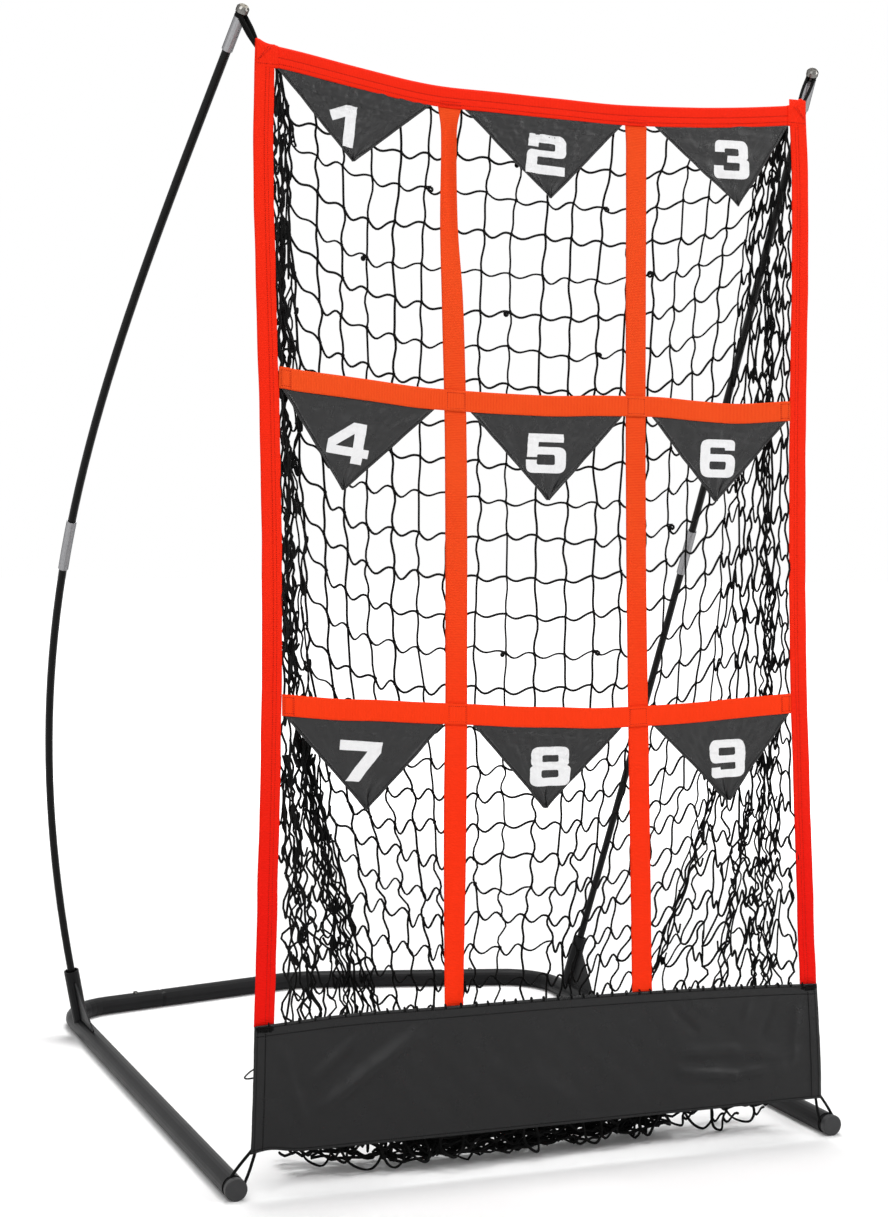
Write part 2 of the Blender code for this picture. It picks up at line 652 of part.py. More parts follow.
def cordLoop(name, hub, axis, hubWidth, straight, pin, cord):
    """Closed loop of cord around a hub and a sewn end, as a belt round two wheels."""
    offset = (pin - hub).dot(axis)
    flat = pin - hub - axis * offset
    ahead = flat.normalized()
    across = axis.cross(ahead)
    big = hubWidth / 2.0 + gap + cord / 2.0
    spread = math.acos((big - pinRadius) / flat.length)

    def wheel(centre, radius, start, end, steps, rise):
        turns = [start + (end - start) * k / steps for k in range(steps + 1)]
        radius /= math.cos((end - start) / steps / 2.0)
        return [hub + ahead * (centre + radius * math.cos(a)) + across * radius * math.sin(a)
                + axis * rise for a in turns]
    points = wheel(0.0, big, spread, 2.0 * math.pi - spread, 16, 0.0)
    if straight > 0.0:
        along = ahead * math.sin(spread) - across * math.cos(spread)
        other = ahead * math.sin(spread) + across * math.cos(spread)
        points = [points[0] + along * straight, *points, points[-1] + other * straight]
    points += wheel(flat.length, pinRadius, -spread, spread, 4, offset)
    stations = []
    for k, p in enumerate(points):
        tangent = (points[(k + 1) % len(points)] - points[k - 1]).normalized()
        stations.append((p, tangent, cord))
    loops = [ring(p, t, d, cordSides, axis) for p, t, d in stations]
    finishObject(name, skin(loops, True), (0.012, 0.012, 0.012), 0.7, 0.0)


def main():
    for piece in list(bpy.data.objects):
        bpy.data.objects.remove(piece, do_unlink=True)
    crossTube = rearCrossTube()
    for side, sign in sides:
        tube = sideTube(side + "_side_tube", sign)
        buttonHoles(side, sign, [tube, crossTube])
        snapSpring(side, sign, snapButton(side, sign))
        legEndCap(side, sign)
        poleSocket(side, sign)
        socketGusset(side, sign)
        neck, way = pole(side, sign)
        behind = -sleeveThickness / 2.0 - gap - topCord / 2.0 - pinSlant * pinRadius
        inset = pinRadius + topCord / 2.0
        pin = faceAt(sign * (halfWidthAt(faceTop) - inset), faceTop - inset, behind)
        cordLoop(side + "_top_loop", neck, way, neckDiameter, ferruleDiameter / 2.0, pin, topCord)
        hub = Vector((sign * halfSpan, grooveY, axisHeight))
        inset = pinRadius + bottomCord / 2.0
        pin = faceAt(sign * (halfWidthAt(skirtBottom) - inset), skirtBottom + inset,
                     -gap / 2.0 - bottomCord / 2.0)
        cordLoop(side + "_bottom_loop", hub, yAxis, grooveDiameter, 0.0, pin, bottomCord)
        sideSleeve(side, sign)
        innerVerticalBand(side, sign)
    half = sleeveThickness / 2.0
    crossBand("top_band", topRow, (half, -half), binding)
    crossBand("upper_cross_band", upperRow, frontLift, webbing)
    crossBand("lower_cross_band", lowerRow, frontLift, webbing)
    skirt()
    netBag()
    for number in range(1, 10):
        pennant(number)


main()
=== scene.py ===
import bpy
import bmesh
import math
import random
from mathutils import Matrix, Vector


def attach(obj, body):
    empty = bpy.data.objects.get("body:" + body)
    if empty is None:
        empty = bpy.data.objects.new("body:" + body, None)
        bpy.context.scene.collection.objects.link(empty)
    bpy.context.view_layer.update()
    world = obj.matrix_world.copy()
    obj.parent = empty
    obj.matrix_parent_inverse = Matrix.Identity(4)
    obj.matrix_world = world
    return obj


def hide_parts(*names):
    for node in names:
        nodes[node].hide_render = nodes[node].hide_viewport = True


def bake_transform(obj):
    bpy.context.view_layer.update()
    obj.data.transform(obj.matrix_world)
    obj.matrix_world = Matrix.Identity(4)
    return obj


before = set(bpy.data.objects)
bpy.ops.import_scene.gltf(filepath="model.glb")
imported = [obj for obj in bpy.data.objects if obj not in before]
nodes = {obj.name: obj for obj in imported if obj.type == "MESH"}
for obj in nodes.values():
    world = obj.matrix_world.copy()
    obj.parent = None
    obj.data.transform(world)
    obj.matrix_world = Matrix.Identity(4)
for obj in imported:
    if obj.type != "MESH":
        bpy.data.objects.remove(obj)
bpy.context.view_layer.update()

bpy.ops.object.select_all(action="DESELECT")
mm = 0.001
bothSides = (("left", -1.0), ("right", 1.0))
forwards, backwards = Vector((0.0, -1.0, 0.0)), Vector((0.0, 1.0, 0.0))
upwards = Vector((0.0, 0.0, 1.0))


def clamp(value, low, high):
    return min(max(value, low), high)


def newObject(name, data):
    made = bpy.data.objects.new(name, data)
    bpy.context.scene.collection.objects.link(made)
    return made


def pickOnly(piece):
    bpy.ops.object.select_all(action="DESELECT")
    piece.select_set(True)
    bpy.context.view_layer.objects.active = piece


# camera, floor and light
view = {
    "place": (-1.318, -3.33175, 0.9614),
    "right": (0.92438, -0.38089, 0.02102),
    "up": (0.00007, 0.05526, 0.99847),
    "back": (-0.38147, -0.92297, 0.05111),
    "lens": 62.86,            # on 36 mm along the taller side of the 888 x 1217 picture
}
studio = {
    "floorHex": "F5F5F5", "floorGlow": 0.05, "glowNear": 1.5, "glowFar": 3.4, "worldHex": "FFFFFF",
    "worldLight": 0.37,
    "aim": (0.0, -0.2, 0.7),      # where the lamps point; each lamp: name, place, width, power
    "lamps": (("keyLamp", (-2.4, -4.2, 4.6), 3.0, 124.0), ("fillLamp", (3.3, -3.1, 3.1), 1.3, 60.0),
              ("topLamp", (0.2, 0.4, 4.4), 2.2, 142.0)),
}


def toLinear(hexCode):
    parts = [int(hexCode[k:k + 2], 16) / 255.0 for k in (0, 2, 4)]
    return (*[p / 12.92 if p <= 0.04045 else ((p + 0.055) / 1.055) ** 2.4 for p in parts], 1.0)


def addNode(tree, kind, settings=None, links=None):
    node = tree.nodes.new("ShaderNode" + kind)
    for key, value in (settings or {}).items():
        setattr(node, key, value)
    for key, value in (links or {}).items():
        if isinstance(value, bpy.types.NodeSocket):
            tree.links.new(value, node.inputs[key])
        else:
            node.inputs[key].default_value = value
    return node


def setUpCamera():
    right, up, back = (Vector(view[k]).normalized() for k in ("right", "up", "back"))
    turn = Matrix((right, up, back)).transposed().to_4x4()
    data = bpy.data.cameras.new("photoCamera")
    data.sensor_width = 36.0
    data.lens = view["lens"]
    data.clip_end = 60.0
    camera = newObject("photoCamera", data)
    camera.matrix_world = Matrix.Translation(view["place"]) @ turn
    bpy.context.scene.camera = camera


def seenWhite(tree):
    # 1 for what the camera, a mirror or glass sees, so that the backdrop is white there
    path = addNode(tree, "LightPath")
    gloss = addNode(tree, "Math", {"operation": "ADD"}, {0: path.outputs["Is Camera Ray"],
                                                         1: path.outputs["Is Glossy Ray"]})
    both = addNode(tree, "Math", {"operation": "ADD", "use_clamp": True},
                   {0: gloss.outputs[0], 1: path.outputs["Is Transmission Ray"]})
    return both.outputs[0]


def setUpStudio():
    scene = bpy.context.scene
    scene.view_settings.view_transform = "Standard"
    world = bpy.data.worlds.new("studioWorld")
    world.use_nodes = True
    tree = world.node_tree
    ground = tree.nodes["Background"]
    ground.inputs["Color"].default_value = toLinear(studio["worldHex"])
    level = addNode(tree, "Mix", {"data_type": "FLOAT"}, {0: seenWhite(tree), 2: studio["worldLight"], 3: 1.0})
    tree.links.new(level.outputs[0], ground.inputs["Strength"])
    scene.world = world

    bpy.ops.mesh.primitive_plane_add(size=40.0, location=(0.0, 0.0, 0.0))
    floor = bpy.context.object
    floor.name = "studioFloor"
    material = bpy.data.materials.new("paperFloor")      # matt paper, lit from within so it reads white
    material.use_nodes = True
    tree = material.node_tree
    shader = tree.nodes["Principled BSDF"]
    shader.inputs["Base Color"].default_value = toLinear(studio["floorHex"])
    shader.inputs["Roughness"].default_value = 0.9
    shader.inputs["Specular IOR Level"].default_value = 0.0
    shader.inputs["Emission Color"].default_value = (1.0, 1.0, 1.0, 1.0)
    place = addNode(tree, "TexCoord").outputs["Object"]
    away = addNode(tree, "VectorMath", {"operation": "LENGTH"}, {0: place})
    level = addNode(tree, "MapRange", {"interpolation_type": "SMOOTHSTEP"},
                    {0: away.outputs["Value"], 1: studio["glowNear"], 2: studio["glowFar"], 3: studio["floorGlow"],
                     4: 1.0})
    glow = addNode(tree, "Math", {"operation": "MULTIPLY"}, {0: seenWhite(tree), 1: level.outputs[0]})
    tree.links.new(glow.outputs[0], shader.inputs["Emission Strength"])
    floor.data.materials.append(material)
    for name, place, size, power in studio["lamps"]:
        data = bpy.data.lights.new(name, "AREA")
        data.shape = "DISK"
        data.size = size
        data.energy = power
        aim = Vector(studio["aim"]) - Vector(place)
        turn = aim.to_track_quat("-Z", "Y").to_matrix().to_4x4()
        newObject(name, data).matrix_world = Matrix.Translation(place) @ turn


setUpCamera()
setUpStudio()
print("camera, floor and light are set")


# materials
def startMaterial(name, hexCode, roughness, metallic=0.0, sockets=None):
    material = bpy.data.materials.new(name)
    material.use_nodes = True
    shader = material.node_tree.nodes["Principled BSDF"]
    shader.inputs["Base Color"].default_value = toLinear(hexCode)
    shader.inputs["Roughness"].default_value = roughness
    shader.inputs["Metallic"].default_value = metallic
    for key, value in (sockets or {}).items():
        shader.inputs[key].default_value = value
    place = addNode(material.node_tree, "TexCoord").outputs["Object"]
    return material, material.node_tree, shader, place


def tintedBy(tree, shader, factor, lowHex, highHex):
    blend = addNode(tree, "Mix", {"data_type": "RGBA"}, {0: factor, 6: toLinear(lowHex), 7: toLinear(highHex)})
    tree.links.new(blend.outputs[2], shader.inputs["Base Color"])
    return blend.outputs[2]


def roughBy(tree, shader, factor, low, high):
    level = addNode(tree, "MapRange", None, {0: factor, 3: low, 4: high})
    tree.links.new(level.outputs[0], shader.inputs["Roughness"])


def grained(tree, shader, height, depth, strength=1.0):
    bump = addNode(tree, "Bump", None, {"Height": height, "Distance": depth, "Strength": strength})
    tree.links.new(bump.outputs[0], shader.inputs["Normal"])


def paintedSteel(name):
    # powder-coated steel: semi-matt black with a faint orange peel about 2 mm across, rubbed a little greyer in places
    material, tree, shader, place = startMaterial(name, "0F0F10", 0.46, 0.0, {"Specular IOR Level": 0.10})
    peel = addNode(tree, "TexNoise", None, {"Vector": place, "Scale": 520.0, "Detail": 2.0})
    rub = addNode(tree, "TexNoise", None, {"Vector": place, "Scale": 14.0, "Detail": 5.0, "Roughness": 0.7})
    tintedBy(tree, shader, rub.outputs[0], "0C0C0D", "1C1C1D")
    roughBy(tree, shader, rub.outputs[0], 0.34, 0.50)
    grained(tree, shader, peel.outputs[0], 0.00012)
    return material


def mouldedPlastic(name):
    # injection-moulded polypropylene with a spark-eroded grain of about 0.6 mm: dull dark grey
    material, tree, shader, place = startMaterial(name, "2A2A2B", 0.55, 0.0, {"Specular IOR Level": 0.35})
    grain = addNode(tree, "TexNoise", None, {"Vector": place, "Scale": 1600.0, "Detail": 1.0})
    cloud = addNode(tree, "TexNoise", None, {"Vector": place, "Scale": 60.0, "Detail": 3.0})
    tintedBy(tree, shader, cloud.outputs[0], "262627", "353536")
    grained(tree, shader, grain.outputs[0], 0.00008)
    return material


def fibreglass(name):
    # pultruded fibreglass rod with a black gel coat: smooth gloss with long faint streaks
    material, tree, shader, place = startMaterial(name, "080808", 0.36, 0.0, {"Specular IOR Level": 0.12})
    long = addNode(tree, "Mapping", None, {"Vector": place, "Scale": (900.0, 900.0, 12.0)})
    streak = addNode(tree, "TexNoise", None, {"Vector": long.outputs[0], "Scale": 1.0, "Detail": 3.0})
    tintedBy(tree, shader, streak.outputs[0], "060606", "101010")
    grained(tree, shader, streak.outputs[0], 0.00006)
    return material


def satinAluminium(name):
    # drawn aluminium tube, tumbled: pale grey metal with blurred highlights and fine marks along it
    material, tree, shader, place = startMaterial(name, "8A8A8C", 0.42, 1.0,
                                                  {"Specular Tint": (0.06, 0.06, 0.06, 1.0)})
    long = addNode(tree, "Mapping", None, {"Vector": place, "Scale": (1400.0, 1400.0, 90.0)})
    mark = addNode(tree, "TexNoise", None, {"Vector": long.outputs[0], "Scale": 1.0, "Detail": 4.0,
                                            "Roughness": 0.6})
    tintedBy(tree, shader, mark.outputs[0], "6A6A6C", "ACACAE")
    roughBy(tree, shader, mark.outputs[0], 0.34, 0.52)
    grained(tree, shader, mark.outputs[0], 0.00005)
    return material


def brightNickel(name):
    # nickel-plated steel: bright and a little warm, its colour darker and lighter in random clouds
    material, tree, shader, place = startMaterial(name, "8C8B88", 0.24, 1.0,
                                                  {"Specular Tint": (0.02, 0.02, 0.02, 1.0)})
    cloud = addNode(tree, "TexNoise", None, {"Vector": place, "Scale": 190.0, "Detail": 5.0, "Roughness": 0.7})
    roughBy(tree, shader, cloud.outputs[0], 0.16, 0.38)
    tintedBy(tree, shader, cloud.outputs[0], "2C2B2A", "969490")
    return material


def wovenWebbing(name, lightHex, darkHex, lowHex, shadeHeights, ridges=()):
    # polyester webbing, dyed and woven in ribs 2.4 mm apart: dense orange-red, nearly matt, with painted shade that
    # turns it deeper red lower down
    # the UV map is in metres: u across the band from its left or upper edge, v along it
    material, tree, shader, place = startMaterial(name, lightHex, 0.72, 0.0, {"Specular IOR Level": 0.12})
    uv = addNode(tree, "UVMap", {"uv_map": "cloth"}).outputs[0]
    axes = addNode(tree, "SeparateXYZ", None, {0: uv})
    rib = addNode(tree, "TexWave", {"bands_direction": "Y"}, {"Vector": uv, "Scale": 131.0, "Distortion": 0.3,
                                                              "Detail": 1.0, "Detail Scale": 3.0})
    cloud = addNode(tree, "TexNoise", None, {"Vector": place, "Scale": 9.0, "Detail": 6.0, "Roughness": 0.62})
    fleck = addNode(tree, "TexNoise", None, {"Vector": place, "Scale": 900.0, "Detail": 2.0})
    ribbed = addNode(tree, "Math", {"operation": "MULTIPLY_ADD"}, {0: rib.outputs[1], 1: 1.0, 2: cloud.outputs[0]})
    flecked = addNode(tree, "Math", {"operation": "MULTIPLY_ADD", "use_clamp": True},
                      {0: fleck.outputs[0], 1: 0.3, 2: ribbed.outputs[0]})
    low = addNode(tree, "Math", {"operation": "SUBTRACT"}, {0: flecked.outputs[0], 1: 0.52})
    colour = tintedBy(tree, shader, low.outputs[0], darkHex, lightHex)
    # painted shade: lower down the colour blends towards the low colour, standing in for the weaker light near the
    # floor
    heights = addNode(tree, "SeparateXYZ", None, {0: place})
    paintedShadeShare = addNode(tree, "MapRange", {"interpolation_type": "SMOOTHSTEP"},
                   {0: heights.outputs[2], 1: shadeHeights[0], 2: shadeHeights[1], 3: 0.9, 4: 0.0})
    deep = addNode(tree, "Mix", {"data_type": "RGBA"}, {0: paintedShadeShare.outputs[0], 6: colour, 7: toLinear(lowHex)})
    colour, height = deep.outputs[2], rib.outputs[1]
    # painted shade: a dark red line in the colour along each sewn-down fold, beside the groove sunk in the bump
    for line in ridges:      # a groove where the fold is sewn down
        off = addNode(tree, "Math", {"operation": "SUBTRACT"}, {0: axes.outputs[0], 1: line})
        near = addNode(tree, "Math", {"operation": "COMPARE"}, {0: off.outputs[0], 1: 0.0, 2: 0.0007})
        shade = addNode(tree, "Math", {"operation": "MULTIPLY"}, {0: near.outputs[0], 1: 0.45})
        paintedGrooveShade = addNode(tree, "Mix", {"data_type": "RGBA"}, {0: shade.outputs[0], 6: colour, 7: toLinear("A81204")})
        colour = paintedGrooveShade.outputs[2]
        lifted = addNode(tree, "Math", {"operation": "MULTIPLY_ADD"}, {0: near.outputs[0], 1: -1.6, 2: height})
        height = lifted.outputs[0]
    tree.links.new(colour, shader.inputs["Base Color"])
    grained(tree, shader, height, 0.00022)
    return material


def wovenNylon(name, lightHex, darkHex, rough, thread, gloss):
    # woven nylon, coated behind: near-black with a fine plain weave and a low sheen that shows its folds
    material, tree, shader, place = startMaterial(name, lightHex, rough, 0.0, {"Specular IOR Level": gloss})
    uv = addNode(tree, "UVMap", {"uv_map": "cloth"}).outputs[0]
    warp = addNode(tree, "TexWave", {"bands_direction": "X"}, {"Vector": uv, "Scale": 0.314 / thread})
    weft = addNode(tree, "TexWave", {"bands_direction": "Y"}, {"Vector": uv, "Scale": 0.314 / thread})
    weave = addNode(tree, "Math", {"operation": "MULTIPLY"}, {0: warp.outputs[1], 1: weft.outputs[1]})
    cloud = addNode(tree, "TexNoise", None, {"Vector": place, "Scale": 16.0, "Detail": 7.0, "Roughness": 0.68})
    rub = addNode(tree, "TexNoise", None, {"Vector": place, "Scale": 42.0, "Detail": 4.0})
    roughBy(tree, shader, rub.outputs[0], rough - 0.08, rough + 0.10)
    tintedBy(tree, shader, cloud.outputs[0], darkHex, lightHex)
    soft = addNode(tree, "Math", {"operation": "MULTIPLY_ADD"}, {0: cloud.outputs[0], 1: 6.0, 2: weave.outputs[0]})
    grained(tree, shader, soft.outputs[0], 0.00012)
    return material


def twistedThread(name, lightHex, darkHex):
    # bonded polyester thread: dull, darker in the twist between its plies
    material, tree, shader, place = startMaterial(name, lightHex, 0.62, 0.0, {"Specular IOR Level": 0.15})
    twist = addNode(tree, "TexNoise", None, {"Vector": place, "Scale": 900.0, "Detail": 2.0})
    tintedBy(tree, shader, twist.outputs[0], darkHex, lightHex)
    return material


def screenInk(name):
    # plastisol ink, screen printed: matt off-white with the weave just showing through
    material, tree, shader, place = startMaterial(name, "EDEDEE", 0.6)
    grain = addNode(tree, "TexNoise", None, {"Vector": place, "Scale": 700.0, "Detail": 2.0})
    tintedBy(tree, shader, grain.outputs[0], "E2E2E4", "F6F6F6")
    grained(tree, shader, grain.outputs[0], 0.00006)
    return material


def braidedCord(name, hexCode, pitch):
    # braided polyester cord: matt black with a fine diagonal twist
    material, tree, shader, place = startMaterial(name, hexCode, 0.8, 0.0, {"Specular IOR Level": 0.12})
    twist = addNode(tree, "TexWave", {"bands_direction": "DIAGONAL"},
                    {"Vector": place, "Scale": 0.314 / pitch, "Distortion": 1.0})
    cloud = addNode(tree, "TexNoise", None, {"Vector": place, "Scale": 30.0, "Detail": 3.0})
    tintedBy(tree, shader, cloud.outputs[0], "040404", "0C0C0C")
    grained(tree, shader, twist.outputs[1], 0.00015)
    return material


tubePaint = paintedSteel("powderCoatedSteel")
capPlastic = mouldedPlastic("grainedPolypropylene")
rodGlass = fibreglass("pultrudedFibreglass")
ferruleMetal = satinAluminium("satinAluminium")
nickel = brightNickel("nickelPlatedSteel")
# each webbing: light and dark colour, then the colour of its painted shade lower down and the heights between which
# that shade sets in
ribbedUpright = wovenWebbing("ribbedUprightWebbing", "FF6224", "E23408", "FA2C03", (0.50, 1.02))
ribbedCross = wovenWebbing("ribbedCrossWebbing", "FF6424", "E4380A", "FA3506", (0.62, 1.00))
redBinding = wovenWebbing("redBindingWebbing", "FF300A", "EC1E03", "E80901", (0.28, 0.86))
bandBinding = wovenWebbing("foldedBindingWebbing", "FF2E09", "EA1C02", "E80901", (0.28, 0.86), (0.0155,))
sewingThread = twistedThread("polyesterSewingThread", "B81605", "8C0F04")
blackThread = twistedThread("blackSewingThread", "060606", "020202")
flagNylon = wovenNylon("flagNylon", "1A1A1B", "0F0F10", 0.27, 0.0009, 0.36)
skirtNylon = wovenNylon("coatedSkirtNylon", "121213", "080809", 0.24, 0.0008, 0.27)
numberInk = screenInk("screenPrintedInk")
netCord = braidedCord("braidedNetCord", "151515", 0.0012)
loopCord = braidedCord("elasticLoopCord", "161616", 0.0016)

finishes = {
    "side_tube": tubePaint, "rear_cross": tubePaint, "pole_socket": tubePaint, "gusset": tubePaint,
    "end_cap": capPlastic, "_rod": rodGlass, "ferrule": ferruleMetal, "tip_cap": nickel,
    "snap_button": nickel, "snap_spring": nickel,
}
for name, node in nodes.items():
    for key, material in finishes.items():
        if key in name:
            for slot in node.material_slots:
                slot.material = material
            if not node.material_slots:
                node.data.materials.append(material)
print("finishes are on the metal and plastic nodes")


# the face plane, as the frame's webbing stands
face = {
    "plane": -0.5955, "lean": math.tan(math.radians(3.94)), "top": 1.585, "halfSpan": 0.475,
    "waist": ((0.037, 0.020), (0.24, 0.031), (0.48, 0.040), (0.66, 0.038), (0.90, 0.030), (1.0, 0.034)),
    "sleeve": 0.029,
}


def faceAt(x, z, lift=0.0):
    return Vector((x, face["plane"] + z * face["lean"] - lift, z))


def smoothThrough(points, at):
    # Hermite curve through (position, value) pairs
    points = sorted(points)
    at = clamp(at, points[0][0], points[-1][0])
    k = max(i for i in range(len(points) - 1) if points[i][0] <= at)
    (a, va), (b, vb) = points[k], points[k + 1]

    def slope(i):
        i = clamp(i, 0, len(points) - 1)
        low, high = points[max(i - 1, 0)], points[min(i + 1, len(points) - 1)]
        return (high[1] - low[1]) / (high[0] - low[0])
    t, step = (at - a) / (b - a), b - a
    return ((2 * t ** 3 - 3 * t * t + 1) * va + (t ** 3 - 2 * t * t + t) * step * slope(k)
            + (3 * t * t - 2 * t ** 3) * vb + (t ** 3 - t * t) * step * slope(k + 1))


def halfWidthAt(z):
    return face["halfSpan"] - smoothThrough(face["waist"], z / face["top"])


def clothMesh(name, grid, uvs, thickness, material, closeAround=False):
    # a sheet or a closed ribbon from rows of points, with its UV map in metres
    bm = bmesh.new()
    layer = bm.loops.layers.uv.new("cloth")
    verts = [[bm.verts.new(p) for p in line] for line in grid]
    wide = len(verts[0])
    for i in range(len(verts) - 1):
        for j in range(wide if closeAround else wide - 1):
            k = (j + 1) % wide
            quad = bm.faces.new((verts[i][j], verts[i][k], verts[i + 1][k], verts[i + 1][j]))
            for loop, (a, b) in zip(quad.loops, ((i, j), (i, k), (i + 1, k), (i + 1, j))):
                loop[layer].uv = uvs[a][b]
            quad.smooth = True
    if closeAround:
        for line in (verts[0], verts[-1]):
            bm.faces.new(line)
        bmesh.ops.recalc_face_normals(bm, faces=bm.faces)
    mesh = bpy.data.meshes.new(name)
    bm.to_mesh(mesh)
    bm.free()
    mesh.materials.append(material)
    piece = newObject(name, mesh)
    if thickness:
        thicken(piece, thickness)
    return piece


def meshPiece(name, bm, material):
    mesh = bpy.data.meshes.new(name)
    bm.to_mesh(mesh)
    bm.free()
    mesh.shade_smooth()
    mesh.materials.append(material)
    return newObject(name, mesh)


def sewnPiece(name, bm, thread):
    bmesh.ops.recalc_face_normals(bm, faces=bm.faces)
    return meshPiece(name, bm, thread)


def thicken(piece, thickness):
    # a wall, half of it on each side of the sheet
    wall = piece.modifiers.new("wall", "SOLIDIFY")
    wall.thickness = thickness
    wall.offset = 0.0
    pickOnly(piece)
    bpy.ops.object.modifier_apply(modifier=wall.name)
    piece.select_set(False)


def curveToMesh(name, curve, paths, closed, material):
    for path in paths:
        spline = curve.splines.new("POLY")
        spline.points.add(len(path) - 1)
        for point, p in zip(spline.points, path):
            point.co = (*p, 1.0)
        spline.use_cyclic_u = closed
    pickOnly(newObject(name, curve))
    bpy.ops.object.convert(target="MESH")
    piece = bpy.context.object
    piece.data.materials.clear()
    piece.data.materials.append(material)
    return piece


# webbing bands
bands = {
    "ripple": 0.0006, "step": 0.008, "across": 8, "width": 0.030, "binding": 0.0033, "flat": 0.0014,
    "sleeveSeams": (0.0155, 0.0245), "topSeams": (0.0155, 0.0262),      # from the outer edge
    "crossings": (("upper", "upperEdge", 1.13), ("lower", "lowerEdge", 0.68)),
    # upper edges along x, as sewn: height above the floor
    "topEdge": ((-0.442, 1.587), (-0.424, 1.585), (-0.376, 1.579), (-0.298, 1.567), (-0.182, 1.552),
                (-0.072, 1.5505), (0.023, 1.550), (0.122, 1.550), (0.250, 1.5575), (0.330, 1.565), (0.397, 1.573),
                (0.435, 1.5785)),
    "upperEdge": ((-0.404, 1.1405), (-0.381, 1.137), (-0.323, 1.132), (-0.263, 1.1265), (-0.202, 1.1205),
                  (-0.110, 1.117), (-0.047, 1.116), (0.017, 1.116), (0.082, 1.119), (0.182, 1.1205), (0.250, 1.117),
                  (0.318, 1.1155), (0.404, 1.1225)),
    "lowerEdge": ((-0.404, 0.689), (-0.325, 0.6815), (-0.265, 0.679), (-0.205, 0.675), (-0.112, 0.670),
                  (-0.049, 0.666), (0.014, 0.664), (0.079, 0.6615), (0.179, 0.664), (0.246, 0.667), (0.315, 0.672),
                  (0.404, 0.6775)),
    "skirtEdge": ((-0.446, 0.236), (-0.309, 0.2435), (-0.158, 0.2435), (0.015, 0.244), (0.179, 0.2425),
                  (0.350, 0.2385), (0.447, 0.2345)),
    # height, left and right edge of the inner uprights
    "uprights": {
        "left": ((0.231, -0.1655, -0.1375), (0.50, -0.1655, -0.1310), (0.70, -0.1620, -0.1285),
                 (1.05, -0.1610, -0.1275), (1.25, -0.1645, -0.1320), (1.36, -0.1660, -0.1395),
                 (1.489, -0.1640, -0.1400), (1.523, -0.1690, -0.1330)),
        "right": ((0.231, 0.1335, 0.1660), (0.50, 0.1310, 0.1640), (0.80, 0.1285, 0.1610), (1.05, 0.1285, 0.1610),
                  (1.25, 0.1300, 0.1630), (1.489, 0.1320, 0.1655), (1.523, 0.1305, 0.1660)),
    },
}


def wave(a, b, seed=0.0):
    # a smooth wandering value from -1 to 1
    return (math.sin(a * 1.7 + seed) + math.sin(a * 3.1 + b * 1.3 + seed * 2.1)
            + math.sin(b * 2.3 - a * 0.8 + seed * 0.7)) / 3.0


def edgeAt(name, x):
    # height of a band's upper edge
    return smoothThrough(bands[name], x)


def crossBand(name, edge, height, lift, thickness, ends, material, ripple):
    grid, uvs = [], []
    count = round((ends[1] - ends[0]) / bands["step"])
    for i in range(count + 1):
        x = ends[0] + (ends[1] - ends[0]) * i / count
        z = smoothThrough(edge, x)
        line, flat = [], []
        for j in range(bands["across"] + 1):
            share = j / bands["across"]
            puff = ripple * (0.5 + 0.5 * wave(x * 22.0, share * 2.0, 1.3))
            line.append(faceAt(x, z - height * share, lift + puff))
            flat.append((height * share, x))
        grid.append(line)
        uvs.append(flat)
    return clothMesh(name, grid, uvs, thickness, material)


def bindingSection(width, thick, folds):
    # closed outline across a folded binding: (from the edge, lift), thinner where it is stitched
    steps = 14
    front = []
    for k in range(steps + 1):
        share = k / steps
        round_ = min(1.0, math.sqrt(max(1.0 - (abs(share - 0.5) * 2.0) ** 10, 0.0)))
        pinch = sum(0.32 * math.exp(-((share * width - f) / 0.0013) ** 2) for f in folds)
        front.append((share * width, thick / 2.0 * max(round_ - pinch, 0.22)))
    return front + [(a, -b) for a, b in reversed(front)]


def bindingStrip(name, places, section, material):
    # places: (edge point, way across, way forwards, run along) at each station
    grid, uvs = [], []
    for edge, across, ahead, run in places:
        grid.append([edge + across * a + ahead * b for a, b in section])
        uvs.append([(a, run) for a, b in section])
    return clothMesh(name, grid, uvs, 0.0, material, closeAround=True)


def sideSleeve(side, sign):
    low = 0.2345
    section = bindingSection(face["sleeve"], bands["binding"], bands["sleeveSeams"])
    places = []
    count = 96
    for k in range(count + 1):
        z = low + (face["top"] - low) * k / count
        ripple = 0.0011 * wave(z * 40.0, 0.0, 2.0 + sign) * max(0.0, 1.0 - z / 1.2)
        x = halfWidthAt(z) + 0.0006 * wave(z * 20.0, 1.0, sign)
        places.append((faceAt(sign * x, z, ripple), Vector((-sign, 0.0, 0.0)), forwards, z))
    return bindingStrip(side + "_sleeve_webbing", places, section, redBinding)


def topBinding():
    section = bindingSection(bands["width"], bands["binding"], bands["topSeams"])
    places = []
    ends = (-0.4125, 0.4125)
    count = 104
    for k in range(count + 1):
        x = ends[0] + (ends[1] - ends[0]) * k / count
        z = edgeAt("topEdge", x)
        rise = edgeAt("topEdge", x + 0.002) - edgeAt("topEdge", x - 0.002)
        down = Vector((rise, 0.0, -0.004)).normalized()
        down.y = down.z * face["lean"]
        places.append((faceAt(x, z, 0.0004 * wave(x * 30.0, 0.0)), down, forwards, x))
    return bindingStrip("top_band_webbing", places, section, bandBinding)


